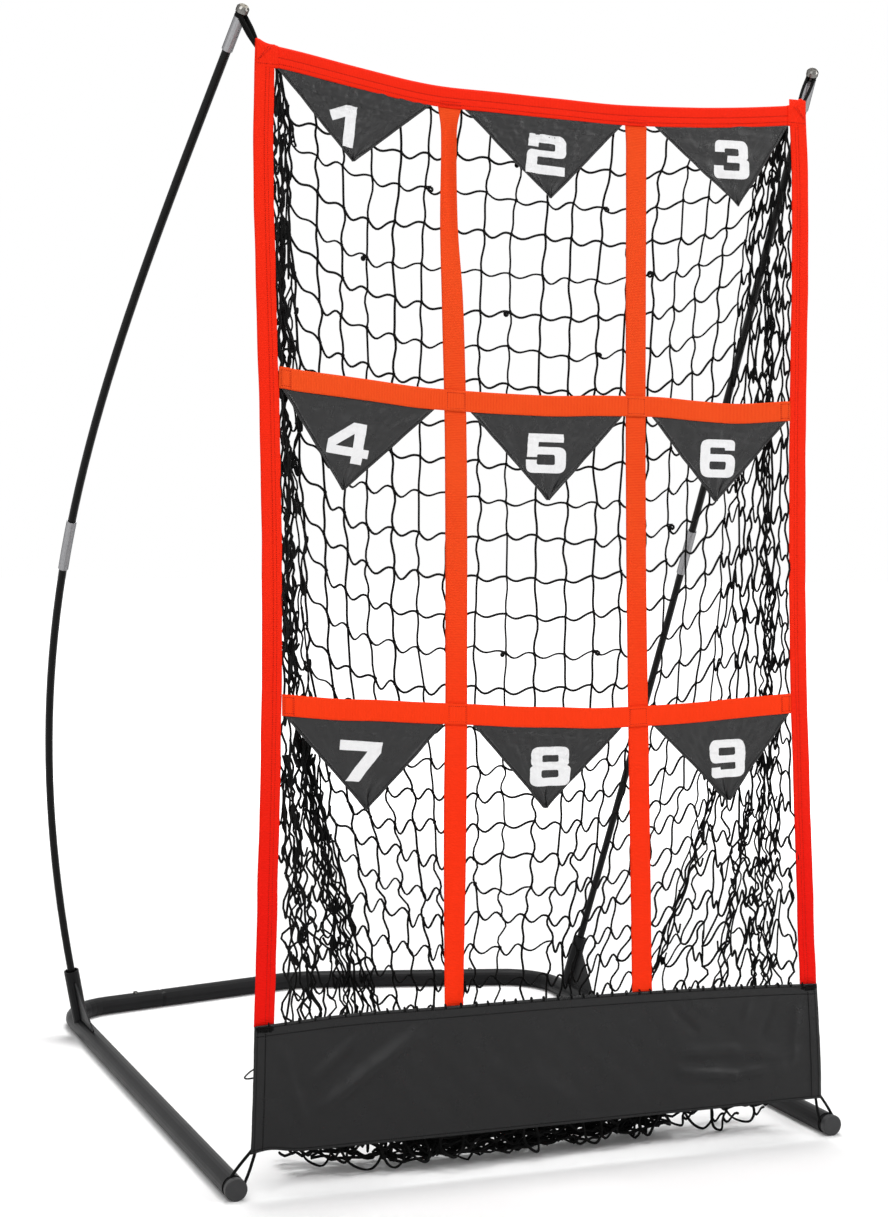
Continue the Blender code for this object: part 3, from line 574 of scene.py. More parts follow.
def uprightBand(side, sign):
    # the left one is rolled narrow near its top, as sewn in the photograph
    grid, uvs = [], []
    top = 1.552 - bands["width"] - 0.0004
    low = 0.231
    edges = bands["uprights"][side]
    count = 160
    for k in range(count + 1):
        z = low + (top - low) * k / count
        left = smoothThrough([(e[0], e[1]) for e in edges], z)
        right = smoothThrough([(e[0], e[2]) for e in edges], z)
        roll = max(0.0, 0.033 - (right - left)) * 0.9
        line, flat = [], []
        for j in range(bands["across"] + 1):
            share = j / bands["across"]
            bow = roll * (4.0 * share * (1.0 - share))
            puff = bands["ripple"] * (0.5 + 0.5 * wave(z * 19.0, share * 2.0, 4.0 + sign))
            line.append(faceAt(left + (right - left) * share, z, -0.0009 - puff - bow))
            flat.append((0.033 * share, z))
        grid.append(line)
        uvs.append(flat)
    return clothMesh(side + "_upright_webbing", grid, uvs, bands["flat"], ribbedUpright)


def cornerWrap(side, sign):
    # the top band's end, folded over the sleeve and sewn down, with a peak where the elastic leaves it
    outer, inner = 0.4412, 0.4085
    peaks = {"left": (0.10, 0.0042), "right": (0.30, 0.0085)}[side]
    across, along = 26, 22
    grid, uvs = [], []
    for i in range(across + 1):
        a = i / across
        x = sign * (outer + (inner - outer) * a)
        edge = edgeAt("topEdge", clamp(x, -0.442, 0.435))
        top = edge + peaks[1] * math.exp(-((a - peaks[0]) / 0.26) ** 2) + 0.0006
        low = edgeAt("topEdge", sign * inner) - 0.0305 + 0.05 * (a - 1.0) * 0.03
        rolled = 0.0012 * math.exp(-(a / 0.05) ** 2)
        line, flat = [], []
        for j in range(2 * along + 2):
            front = j <= along
            b = (j if front else 2 * along + 1 - j) / along
            z = top + (low - top) * b
            fold = (0.0009 * math.exp(-(((a - 0.62 * b - 0.06) / 0.05) ** 2))
                    + 0.0008 * math.exp(-(((a + 0.9 * b - 0.75) / 0.07) ** 2)))
            puff = ((0.0027 + fold + 0.0005 * wave(a * 9.0, b * 9.0, 2.0 + sign))
                    * (1.0 - 0.55 * abs(2.0 * b - 1.0) ** 6) - rolled)
            pull = -0.0009 * math.sin(math.pi * b) * (1.0 - a)
            line.append(faceAt(x + sign * pull, z, puff if front else -puff))
            flat.append((0.030 * b, x))
        grid.append(line)
        uvs.append(flat)
    return clothMesh(side + "_corner_fold", grid, uvs, 0.0, redBinding, closeAround=True)


# pitch, length and half width of the stitches
seams = {"band": (0.0030, 0.0021, 0.00036), "skirt": (0.0034, 0.0027, 0.00075), "flag": (0.0032, 0.0026, 0.00066)}


def addStitch(bm, a, b, out, half):
    # one stitch: a bead of thread with pointed ends
    side = (b - a).normalized().cross(out).normalized()
    rings = [[bm.verts.new(a.lerp(b, t) + side * half * i + out * half * 0.8 * j) for i,
              j in ((1, 0), (0, 1), (-1, 0), (0, -1))]
             for t in (0.2, 0.8)]
    start, end = bm.verts.new(a), bm.verts.new(b)
    for k in range(4):
        n = (k + 1) % 4
        bm.faces.new((rings[0][k], rings[0][n], rings[1][n], rings[1][k]))
        bm.faces.new((start, rings[0][n], rings[0][k]))
        bm.faces.new((end, rings[1][k], rings[1][n]))


def stitchLine(bm, path, out, kind="band"):
    # stitches along a path that lies on the cloth
    pitch, length, half = seams[kind]
    left = 0.0
    for p, q in zip(path, path[1:]):
        span = (q - p).length
        while left <= span:
            a = p.lerp(q, left / span)
            way = (q - p).normalized()
            addStitch(bm, a, a + way * length, out, half)
            left += pitch
        left -= span


def sewBands():
    bm = bmesh.new()
    heights = [0.237 + 0.01 * k for k in range(133)]
    for sign in (-1.0, 1.0):
        for inset in (0.0158, 0.0208):
            for out, lift in ((forwards, 0.00178), (backwards, -0.00178)):
                stitchLine(bm, [faceAt(sign * (halfWidthAt(z) - inset), z,
                                       lift + 0.0010 * wave(z * 40.0, 0.0, 2.0 + sign)
                                       * max(0.0, 1.0 - z / 1.2)) for z in heights], out)
    spans = [-0.408 + 0.012 * k for k in range(69)]
    for out, lift in ((forwards, 0.00178), (backwards, -0.00178)):
        stitchLine(bm, [faceAt(x, edgeAt("topEdge", x) - 0.0246, lift) for x in spans], out)
    # a box of stitches at every crossing, with a bar beside it
    for _, edge, level in bands["crossings"]:
        reach = halfWidthAt(level) - face["sleeve"] - 0.002
        for middle, half in ((-0.1450, 0.0130), (0.1450, 0.0130), (-reach + 0.008, 0.006), (reach - 0.008, 0.006)):
            low, high = middle - half, middle + half
            for out, lift in ((forwards, 0.00205), (backwards, -0.0024 if half > 0.01 else 0.0002)):
                for drop in (0.004, 0.026):
                    stitchLine(bm, [faceAt(x, edgeAt(edge, x) - drop, lift) for x in (low, middle, high)], out)
                for x in (low, high):
                    stitchLine(bm, [faceAt(x, edgeAt(edge, x) - drop, lift) for drop in (0.004, 0.015, 0.026)], out)
            for x in ((low - 0.0016,) if middle > 0 else (high + 0.0016,)):
                stitchLine(bm, [faceAt(x, edgeAt(edge, x) - drop, 0.00205) for drop in (0.003, 0.027)], forwards)
    for middle in (-0.1515, 0.1490):      # where the uprights are caught under the top band
        for drop in (0.0262, 0.0212):
            stitchLine(bm, [faceAt(middle + d, edgeAt("topEdge", middle) - drop, 0.0019) for d in (-0.015, 0.015)],
                       forwards)
    # double slanting rows and a level row on each corner fold
    for sign in (-1.0, 1.0):
        edge = edgeAt("topEdge", sign * 0.43)
        for shift in (0.0, 0.0045):
            stitchLine(bm, [faceAt(sign * (0.4385 - shift * 0.6), edge - 0.024 + shift * 0.4, 0.0040),
                            faceAt(sign * (0.4225 - shift * 0.9), edge - 0.0035 - shift * 0.3, 0.0042)], forwards)
        stitchLine(bm, [faceAt(sign * 0.4390, edge - 0.0285, 0.0032), faceAt(sign * 0.4120, edge - 0.0285, 0.0032)],
                   forwards)
    return sewnPiece("webbing_stitches", bm, sewingThread)


def makeBands():
    for side, sign in bothSides:
        sleeve = sideSleeve(side, sign)
        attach(sleeve, "frame")
        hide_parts(side + "_side_sleeve")
        upright = uprightBand(side, sign)
        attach(upright, "frame")
        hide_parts(side + "_inner_vertical_band")
    top = topBinding()
    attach(top, "frame")
    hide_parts("top_band")
    for name, edge, level in bands["crossings"]:
        reach = halfWidthAt(level) - face["sleeve"] - 0.0004
        band = crossBand(name + "_cross_webbing", bands[edge], bands["width"], 0.0009, bands["flat"],
                         (-reach, reach), ribbedCross, bands["ripple"])
        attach(band, "frame")
        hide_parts(name + "_cross_band")


makeBands()
for side, sign in bothSides:
    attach(cornerWrap(side, sign), "frame")
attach(sewBands(), "frame")
print("webbing is sewn")


def cordCurve(name, paths, width, material, sides=0):
    curve = bpy.data.curves.new(name, "CURVE")
    curve.dimensions = "3D"
    curve.bevel_depth = width / 2.0
    curve.bevel_resolution = sides
    curve.use_fill_caps = True
    piece = curveToMesh(name, curve, paths, False, material)
    piece.data.shade_smooth()
    piece.select_set(False)
    return piece


def smoothPath(points, steps):
    # Catmull-Rom through the points
    path = []
    for k in range(len(points) - 1):
        p = [points[clamp(k + d, 0, len(points) - 1)] for d in (-1, 0, 1, 2)]
        for i in range(steps):
            t = i / steps
            path.append(0.5 * ((2 * p[1]) + (p[2] - p[0]) * t + (2 * p[0] - 5 * p[1] + 4 * p[2] - p[3]) * t * t
                               + (3 * p[1] - p[0] - 3 * p[2] + p[3]) * t ** 3))
    path.append(points[-1])
    return path


# skirt
skirt = {
    "bottom": 0.060, "columns": 190, "rows": 44, "thickness": 0.0009, "hem": 0.0165, "sideHem": 0.018,
    "swell": 0.0042,
    "height": 0.178, "width": 0.89, "topReach": 0.447, "tie": 0.0024, "seed": 31,
    # soft folds: from x, z to x, z, then height and half width
    "folds": ((-0.345, 0.120, -0.215, 0.206, 0.0042, 0.011), (-0.360, 0.160, -0.298, 0.212, 0.0022, 0.008),
              (-0.215, 0.214, -0.185, 0.224, 0.0020, 0.004), (0.205, 0.150, 0.300, 0.146, 0.0034, 0.010),
              (0.300, 0.146, 0.405, 0.128, 0.0026, 0.010), (0.215, 0.119, 0.300, 0.108, 0.0040, 0.008),
              (0.300, 0.108, 0.385, 0.116, 0.0036, 0.008), (0.196, 0.222, 0.208, 0.205, -0.0034, 0.0032),
              (0.208, 0.205, 0.236, 0.180, -0.0038, 0.0040), (0.225, 0.225, 0.262, 0.205, 0.0018, 0.006),
              (0.330, 0.222, 0.322, 0.190, 0.0014, 0.005), (0.372, 0.216, 0.352, 0.165, -0.0018, 0.004),
              (-0.100, 0.150, 0.030, 0.098, 0.0010, 0.016), (-0.410, 0.205, -0.380, 0.100, 0.0016, 0.007),
              (0.412, 0.200, 0.404, 0.120, 0.0016, 0.006)),
}


def foldAt(x, z):
    # height of the soft folds at a place on the skirt
    total = 0.0
    for x0, z0, x1, z1, height, half in skirt["folds"]:
        along = ((x - x0) * (x1 - x0) + (z - z0) * (z1 - z0)) / ((x1 - x0) ** 2 + (z1 - z0) ** 2)
        t = clamp(along, 0.0, 1.0)
        off = math.hypot(x - x0 - (x1 - x0) * t, z - z0 - (z1 - z0) * t)
        total += 1.7 * height * math.exp(-(off / half) ** 2) * (0.35 + 0.65 * math.sin(math.pi * (0.12 + 0.76 * t)))
    return total


def skirtPoint(u, v, lift=0.0):
    # u from the left edge to the right, v from the bottom hem to the top
    low = skirt["bottom"] + 0.006 * math.exp(-((u - 0.03) / 0.03) ** 2)
    high = edgeAt("skirtEdge", (2.0 * u - 1.0) * skirt["topReach"])
    z = low + (high - low) * v
    x = (2.0 * u - 1.0) * halfWidthAt(z)
    belly = math.sin(math.pi * clamp((v - 0.02) / 0.90, 0.0, 1.0)) ** 0.7
    fold = (0.45 + 0.30 * wave(u * 16.0, v * 3.0, 0.4) + 0.22 * wave(u * 34.0 + v * 5.0, v * 6.0, 2.0)
            + 0.08 * wave(u * 90.0, v * 17.0, 5.0))
    out = skirt["swell"] * belly * fold + foldAt(x, z) * min(belly * 1.6, 1.0)
    atSide = min(u, 1.0 - u) < skirt["sideHem"] / skirt["width"]
    hemmed = 0.0007 if atSide or v > 1.0 - skirt["hem"] / skirt["height"] or v < 0.03 else 0.0
    return faceAt(x, z, 0.0008 + max(out, -0.0004) + hemmed + lift)


def skirtSheet():
    grid, uvs = [], []
    for i in range(skirt["columns"] + 1):
        u = i / skirt["columns"]
        line = [skirtPoint(u, j / skirt["rows"]) for j in range(skirt["rows"] + 1)]
        grid.append(line)
        uvs.append([(p.x, p.z) for p in line])
    return clothMesh("skirt_cloth", grid, uvs, skirt["thickness"], skirtNylon)


def skirtStitches():
    bm = bmesh.new()
    rows = [((0.002, 1.0 - 0.0155 / skirt["height"]), (0.998, 1.0 - 0.0155 / skirt["height"])),
            ((0.002, 1.0 - 0.004 / skirt["height"]), (0.998, 1.0 - 0.004 / skirt["height"])),
            ((0.002, 0.022), (0.998, 0.022))]
    for gap in (0.0045, 0.0165):
        rows += [((gap / skirt["width"], 0.01), (gap / skirt["width"], 0.985)),
                 ((1.0 - gap / skirt["width"], 0.01), (1.0 - gap / skirt["width"], 0.985))]
    for (u0, v0), (u1, v1) in rows:
        steps = 160 if u0 != u1 else 36
        path = [skirtPoint(u0 + (u1 - u0) * k / steps, v0 + (v1 - v0) * k / steps,
                           0.0006) for k in range(steps + 1)]
        stitchLine(bm, path, forwards, "skirt")
    return sewnPiece("skirt_stitches", bm, blackThread)


def skirtTies():
    # net loops caught over the skirt's top edge, bar tacks at its corners and one slack thread
    dice = random.Random(skirt["seed"])
    paths = []
    for k in range(40):
        x = -0.425 + 0.0218 * k + dice.uniform(-0.002, 0.002)
        edge = edgeAt("skirtEdge", x)
        lean = dice.uniform(-0.0015, 0.0015)
        paths.append(smoothPath([faceAt(x, edge - 0.004, -0.0028), faceAt(x + lean, edge + 0.0012, -0.0018),
                                 faceAt(x + lean, edge + 0.0022, 0.0002), faceAt(x + lean, edge + 0.0008, 0.0026),
                                 faceAt(x, edge - 0.0035, 0.0032)], 3))
    for sign in (-1.0, 1.0):
        edge = edgeAt("skirtEdge", sign * 0.435)
        for k in range(7):      # bar tack and the knotted tie round it
            x = sign * (0.4440 - 0.0031 * k * (1.0 if sign < 0 else 0.8)) + dice.uniform(-0.0008, 0.0008)
            paths.append([faceAt(x, edge - 0.0012, 0.0031), faceAt(x - sign * 0.0016, edge - 0.0048, 0.0040),
                          faceAt(x - sign * 0.0004, edge - 0.0095, 0.0031)])
        for drop in (0.0030, 0.0062):
            paths.append([faceAt(sign * 0.4464, edge - drop, 0.0028),
                          faceAt(sign * 0.4350, edge - drop + 0.0008, 0.0044),
                          faceAt(sign * 0.4215, edge - drop - 0.0004, 0.0030)])
    edge = faceAt(-halfWidthAt(0.172), 0.172, 0.001)
    paths.append(smoothPath([edge + Vector((0.002, 0.0, 0.006)), edge + Vector((-0.004, 0.0, 0.003)),
                             edge + Vector((-0.0115, 0.0, -0.004)), edge + Vector((-0.008, 0.0, -0.0065)),
                             edge + Vector((0.002, 0.0, -0.006))], 5))
    return cordCurve("skirt_ties", paths, skirt["tie"], netCord)


def makeSkirt():
    cloth = skirtSheet()
    extras = [skirtStitches(), skirtTies()]
    for piece in (cloth, *extras):
        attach(piece, "frame")
    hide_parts("skirt")


makeSkirt()
print("skirt is hung")


# pennants and their numbers
flags = {
    "thickness": 0.0008, "ink": 0.0004, "columns": 60, "rows": 36, "tuck": 0.006, "tipWidth": 0.004, "hem": 0.0042,
    # the fold line as the frame has it (left and right x, y, z), the cloth's own ends, its tip's x and z,
    # and how crumpled it is
    1: ((-0.4069, -0.48857, 1.55256), (-0.1674, -0.49064, 1.52252), -0.4105, -0.1780, -0.296, 1.434, 1.7),
    2: ((-0.122375, -0.49083, 1.5197), (0.122375, -0.49083, 1.5197), -0.1270, 0.1250, 0.011, 1.405, 1.5),
    3: ((0.1674, -0.49068, 1.52189), (0.4069, -0.48908, 1.54520), 0.1790, 0.4105, 0.326, 1.416, 0.4),
    4: ((-0.4032, -0.51910, 1.10921), (-0.1674, -0.52045, 1.08963), -0.4040, -0.1760, -0.312, 0.972, 0.6),
    5: ((-0.1224, -0.5205, 1.0879), (0.1224, -0.5205, 1.0896), -0.1220, 0.1220, 0.005, 0.964, 0.6),
    6: ((0.1674, -0.52044, 1.08985), (0.4032, -0.52038, 1.09074), 0.1720, 0.4020, 0.284, 0.968, 0.5),
    7: ((-0.4016, -0.55019, 0.65784), (-0.1674, -0.55127, 0.64220), -0.4020, -0.1665, -0.280, 0.525, 0.7),
    8: ((-0.1224, -0.55142, 0.64004), (0.1224, -0.55191, 0.63286), -0.1190, 0.1190, -0.003, 0.517, 1.4),
    9: ((0.1674, -0.55187, 0.63349), (0.4016, -0.55095, 0.64689), 0.1700, 0.4040, 0.301, 0.518, 0.8),
}


def foldLine(number):
    # the cloth's ends on the fold that the frame gives
    left, right = Vector(flags[number][0]), Vector(flags[number][1])
    return [left.lerp(right, (x - left.x) / (right.x - left.x)) for x in flags[number][2:4]]


def flagEdges(number, t):
    # both sloping edges at t, from the fold (0) to the tip (1)
    left, right = foldLine(number)
    tipX, tipZ = flags[number][4:6]
    tip = Vector((tipX, (left.y + right.y) / 2.0, tipZ))
    half = Vector((flags["tipWidth"] / 2.0, 0.0, 0.0))
    return left.lerp(tip - half, t), right.lerp(tip + half, t)


def flagAt(number, s, t):
    low, high = flagEdges(number, t)
    return low.lerp(high, s)


def flagPoint(number, s, t):
    # s along the fold, t from the fold to the tip
    low, high = flagEdges(number, t)
    left, right = foldLine(number)
    place = low.lerp(high, s)
    square = (right - left).cross(upwards).normalized()
    near = (1.0 - t) ** 2.6 * (1.0 - math.exp(-t * 9.0))
    edge = math.sin(math.pi * s) ** 0.5 if 0.0 < s < 1.0 else 0.0
    rough = wave(s * 15.0 + number, t * 30.0, number * 1.9)
    crease = wave(s * 31.0 - t * 9.0, t * 34.0 + s * 6.0, number * 2.7)
    sharp = math.copysign(abs(crease) ** 0.7, crease)
    crumple = flags[number][6] * near * edge * (0.0040 * rough + 0.0026 * sharp)
    lean = (0.0050 * t * wave(s * 5.0, t * 3.0, number * 0.7)
            + 0.0014 * wave(s * 9.0, t * 11.0, number * 1.3) * min(t * 8.0, 1.0))
    curl = 0.0035 * t * (1.0 - t) * (2.0 * s - 1.0) ** 2 * (1.0 if number % 2 else -0.6)
    wide = (high - low).length
    inside = min(s, 1.0 - s) * wide * 0.7
    hem = 0.0006 * clamp((flags["hem"] + 0.0004 - inside) / 0.0004, 0.0, 1.0) * (t > 0.0)
    hem *= clamp(wide / 0.02 - 1.0, 0.0, 1.0)
    return place + square * (crumple + lean + curl + hem)


def flagStops(number, t):
    # where the columns of the cloth stand, with one on each side of both hems
    low, high = flagEdges(number, t)
    wide = (high - low).length * 0.7
    hem = min(flags["hem"] / wide, 0.30)
    step = min((flags["hem"] + 0.0005) / wide, 0.34)
    inner = [step + (1.0 - 2.0 * step) * k / flags["columns"] for k in range(flags["columns"] + 1)]
    return [0.0, hem * 0.5, hem, *inner, 1.0 - hem, 1.0 - hem * 0.5, 1.0]


def flagCloth(number):
    left, right = foldLine(number)
    wide = (right - left).length
    drop = (left.z + right.z) / 2.0 - flags[number][5]
    behind = 0.0022 if number < 4 else 0.0009
    grid, uvs = [], []
    for i in range(-2, flags["rows"] + 1):
        t = i / flags["rows"] if i > 0 else 0.0
        line, flat = [], []
        for s in flagStops(number, t):
            place = flagPoint(number, s, t)
            if i < 0:      # the sewn edge goes up behind its band
                place += Vector((0.0, behind, flags["tuck"] * -i / 2.0))
            line.append(place)
            flat.append((wide * (s - 0.5) * (1.0 - t), -drop * t - min(i, 0) * 0.003))
        grid.append(line)
        uvs.append(flat)
    return clothMesh("pennant_%d_cloth" % number, grid, uvs, flags["thickness"], flagNylon)


def flagStitches(number):
    bm = bmesh.new()
    left, right = foldLine(number)
    out = (right - left).cross(upwards).normalized()
    for end in (0, 1):
        path = []
        for k in range(60):
            t = 0.05 + 0.91 * k / 59.0
            low, high = flagEdges(number, t)
            share = min(0.0033 / ((high - low).length * 0.7), 0.4)
            path.append(flagPoint(number, share if end == 0 else 1.0 - share, t) + out * 0.0006)
        stitchLine(bm, path, out, "flag")
    return sewnPiece("pennant_%d_stitches" % number, bm, blackThread)


# outlines of the numbers on a field 62 mm wide and 57 mm high: outer loops and holes as (x, y, corner radius)
numberShapes = {
    1: [[(29, 57, 0), (47, 57, 0), (47, 0, 0), (30, 0, 0), (30, 41, 0), (12, 33, 0), (5, 46, 0)]],
    2: [[(2, 38, 0), (2, 46, 11), (2, 57, 11), (60, 57, 12), (60, 25, 9), (18, 25, 3), (18, 13, 0), (60, 13, 0),
         (60, 0, 0), (1, 0, 0), (1, 34, 9), (43, 34, 3), (43, 45, 3), (18, 45, 3), (18, 38, 0)]],
    3: [[(2, 39, 0), (2, 57, 11), (58, 57, 12), (58, 31, 4), (55, 29.5, 2), (61, 27, 4), (61, 0, 12), (1, 0, 11),
         (1, 19, 0), (17, 19, 0), (17, 12, 3), (44, 12, 3), (44, 24, 3), (23, 24, 0), (23, 34, 0), (42, 34, 3),
         (42, 45, 3), (18, 45, 3), (18, 39, 0)]],
    4: [[(33, 57, 0), (53, 57, 0), (53, 22, 0), (61, 22, 0), (61, 10, 0), (53, 10, 0), (53, 0, 0), (37, 0, 0),
         (37, 10, 0), (0, 10, 0), (0, 29, 0)], [(37, 22, 0), (37, 42, 0), (12, 22, 0)]],
    5: [[(3, 57, 0), (57, 57, 0), (57, 45, 0), (19, 45, 0), (19, 38, 0), (61, 38, 12), (61, 0, 13), (1, 0, 13),
         (1, 19, 0), (17, 19, 0), (17, 12, 3), (44, 12, 3), (44, 27, 3), (17, 27, 2), (17, 23, 0), (2, 23, 0)]],
    6: [[(1, 0, 14), (61, 0, 13), (61, 35, 12), (17, 35, 0), (17, 45, 3), (43, 45, 2), (43, 41, 0), (59, 41, 0),
         (59, 57, 12), (1, 57, 14)],
        [(17, 12, 3), (17, 24, 3), (45, 24, 3), (45, 12, 3)]],
    7: [[(1, 57, 0), (61, 57, 0), (61, 42, 0), (32, 0, 0), (13, 0, 0), (41, 43, 0), (1, 43, 0)]],
    8: [[(0, 0, 12), (62, 0, 12), (62, 27, 5), (57, 29.5, 2), (60, 32, 5), (60, 57, 12), (2, 57, 12), (2, 32, 5),
         (5, 29.5, 2), (0, 27, 5)],
        [(17, 12, 4), (17, 23, 4), (45, 23, 4), (45, 12, 4)], [(18, 35, 3.5), (18, 45, 3.5), (44, 45, 3.5),
                                                               (44, 35, 3.5)]],
    9: [[(61, 57, 14), (1, 57, 13), (1, 22, 12), (45, 22, 0), (45, 12, 3), (19, 12, 2), (19, 16, 0), (3, 16, 0),
         (3, 0, 12), (61, 0, 14)],
        [(45, 45, 3), (45, 33, 3), (17, 33, 3), (17, 45, 3)]],
}
numberPlaces = {
    # middle of each number as x and z, its turn in degrees, and its width against the outline's
    1: (-0.3095, 1.4822, -5.0, 0.98), 2: (0.0025, 1.4670, -3.0, 1.05), 3: (0.3120, 1.4845, 1.0, 1.0),
    4: (-0.3050, 1.0386, -8.0, 1.0), 5: (-0.0005, 1.0317, 0.0, 1.06), 6: (0.2850, 1.0320, 0.0, 1.0),
    7: (-0.2920, 0.5931, -5.0, 1.05), 8: (0.0030, 0.5777, 0.0, 1.05), 9: (0.2975, 0.5814, 2.0, 1.02),
}


def roundedLoop(corners):
    points = []
    for k, (x, y, radius) in enumerate(corners):
        here = Vector((x, y, 0.0))
        before = Vector((*corners[k - 1][:2], 0.0)) - here
        after = Vector((*corners[(k + 1) % len(corners)][:2], 0.0)) - here
        if radius <= 0.0:
            points.append(here)
            continue
        reach = min(radius, before.length * 0.5, after.length * 0.5)
        start, end = here + before.normalized() * reach, here + after.normalized() * reach
        for i in range(7):
            t = i / 6.0
            points.append(start.lerp(here, t).lerp(here.lerp(end, t), t))
    return points


def flagNumber(number):
    left, right = foldLine(number)
    middleX, middleZ, turn, wider = numberPlaces[number]
    curve = bpy.data.curves.new("number_%d" % number, "CURVE")
    curve.dimensions = "2D"
    curve.fill_mode = "BOTH"
    outlines = [[((p.x - 31.0) * wider, p.y - 28.5, 0.0) for p in roundedLoop(loop)] for loop in numberShapes[number]]
    shape = curveToMesh("number_%d" % number, curve, outlines, True, numberInk)
    bpy.ops.object.mode_set(mode="EDIT")
    for normal in ((1.0, 0.0, 0.0), (0.0, 1.0, 0.0)):      # cut across so that the print follows the cloth
        for k in range(-10, 11):
            bpy.ops.mesh.select_all(action="SELECT")
            bpy.ops.mesh.bisect(plane_co=tuple(c * k * 3.1 for c in normal), plane_no=normal)
    bpy.ops.mesh.select_all(action="SELECT")
    bpy.ops.mesh.normals_make_consistent(inside=False)
    bpy.ops.object.mode_set(mode="OBJECT")
    angle = math.radians(turn)
    tipZ = flags[number][5]
    for vertex in shape.data.vertices:
        x, y = vertex.co.x * mm, vertex.co.y * mm
        px = middleX + x * math.cos(angle) - y * math.sin(angle)
        pz = middleZ + x * math.sin(angle) + y * math.cos(angle)
        s, t = 0.5, 0.5
        for _ in range(6):      # find the place on the cloth that lies under this point
            t = clamp(t + (flagAt(number, s, t).z - pz) / (left.lerp(right, s).z - tipZ), 0.0, 0.98)
            low, high = flagEdges(number, t)
            s = clamp((px - low.x) / (high.x - low.x), 0.0, 1.0)
        vertex.co = (px, flagPoint(number, s, t).y - flags["thickness"] / 2.0 - 0.0006, pz)
    thicken(shape, flags["ink"])
    return shape


for number in range(1, 10):
    cloth = flagCloth(number)
    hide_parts("pennant_%d" % number)
    inks = (flagNumber(number), flagStitches(number))
    for piece in inks:
        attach(piece, "pennant_%d" % number)
    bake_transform(cloth)
print("pennants hang with their numbers")


# cords
loops = {"topCord": 0.0044, "bottomCord": 0.0044, "grooveRadius": 0.0126}


def topLoop(side, sign):
    # elastic, doubled: round the tip's neck and down to the sewn corner in a V
    neckWay = Vector((-sign * 0.1502, -0.6255, 0.7656)).normalized()
    neck = Vector((sign * 0.4574, -0.47783, 1.6305)) - neckWay * 0.0086
    pin = faceAt(sign * 0.4345, 1.5795, -0.0050)
    down = (pin - neck).normalized()
    across = neckWay.cross(down).normalized()
    flat = (down - neckWay * down.dot(neckWay)).normalized()
    paths = []
    for shift in (-0.0021, 0.0021):
        ring = []
        for k in range(13):
            a = math.radians(-115.0 + 230.0 * k / 12.0)
            ring.append(neck + neckWay * shift - flat * math.cos(a) * 0.0062 + across * math.sin(a) * 0.0062)
        start = [pin + across * -0.0035 - neckWay * 0.001 + down * 0.004, pin + across * -0.0028 - neckWay * 0.001]
        end = [pin + across * 0.0028 - neckWay * 0.001, pin + across * 0.0035 - neckWay * 0.001 + down * 0.004]
        middleA = (start[1] + ring[0]) / 2.0 - across * 0.0010 + neckWay * shift * 0.6
        middleB = (end[0] + ring[-1]) / 2.0 + across * 0.0010 + neckWay * shift * 0.6
        paths.append(smoothPath([*start, middleA, *ring, middleB, *end], 4))
    return cordCurve(side + "_top_cord", paths, loops["topCord"], loopCord, sides=2)


def bottomLoop(side, sign):
    # elastic round the groove behind the leg's cap and up to the skirt's corner, one strand on each side
    hub = Vector((sign * 0.475, -0.5835, 0.015875))
    pin = faceAt(sign * 0.4495, 0.0655, -0.0022)
    ahead = pin - hub
    ahead.y = 0.0
    ahead.normalize()
    across = Vector((-ahead.z, 0.0, ahead.x))
    ring = []
    for k in range(25):
        a = math.radians(75.0 + 210.0 * k / 24.0)
        ring.append(hub + ahead * math.cos(a) * loops["grooveRadius"] + across * math.sin(a) * loops["grooveRadius"])
    first = pin + across * 0.0030
    last = pin - across * 0.0030
    path = smoothPath([first + ahead * 0.006, first, (first + ring[0]) / 2.0 + across * 0.001, *ring,
                       (last + ring[-1]) / 2.0 - across * 0.001, last, last + ahead * 0.006], 4)
    return cordCurve(side + "_bottom_cord", [path], loops["bottomCord"], loopCord, sides=2)


for side, sign in bothSides:
    for piece, node in ((topLoop(side, sign), "_top_loop"), (bottomLoop(side, sign), "_bottom_loop")):
        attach(piece, "frame")
        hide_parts(side + node)
print("elastic loops are hooked")


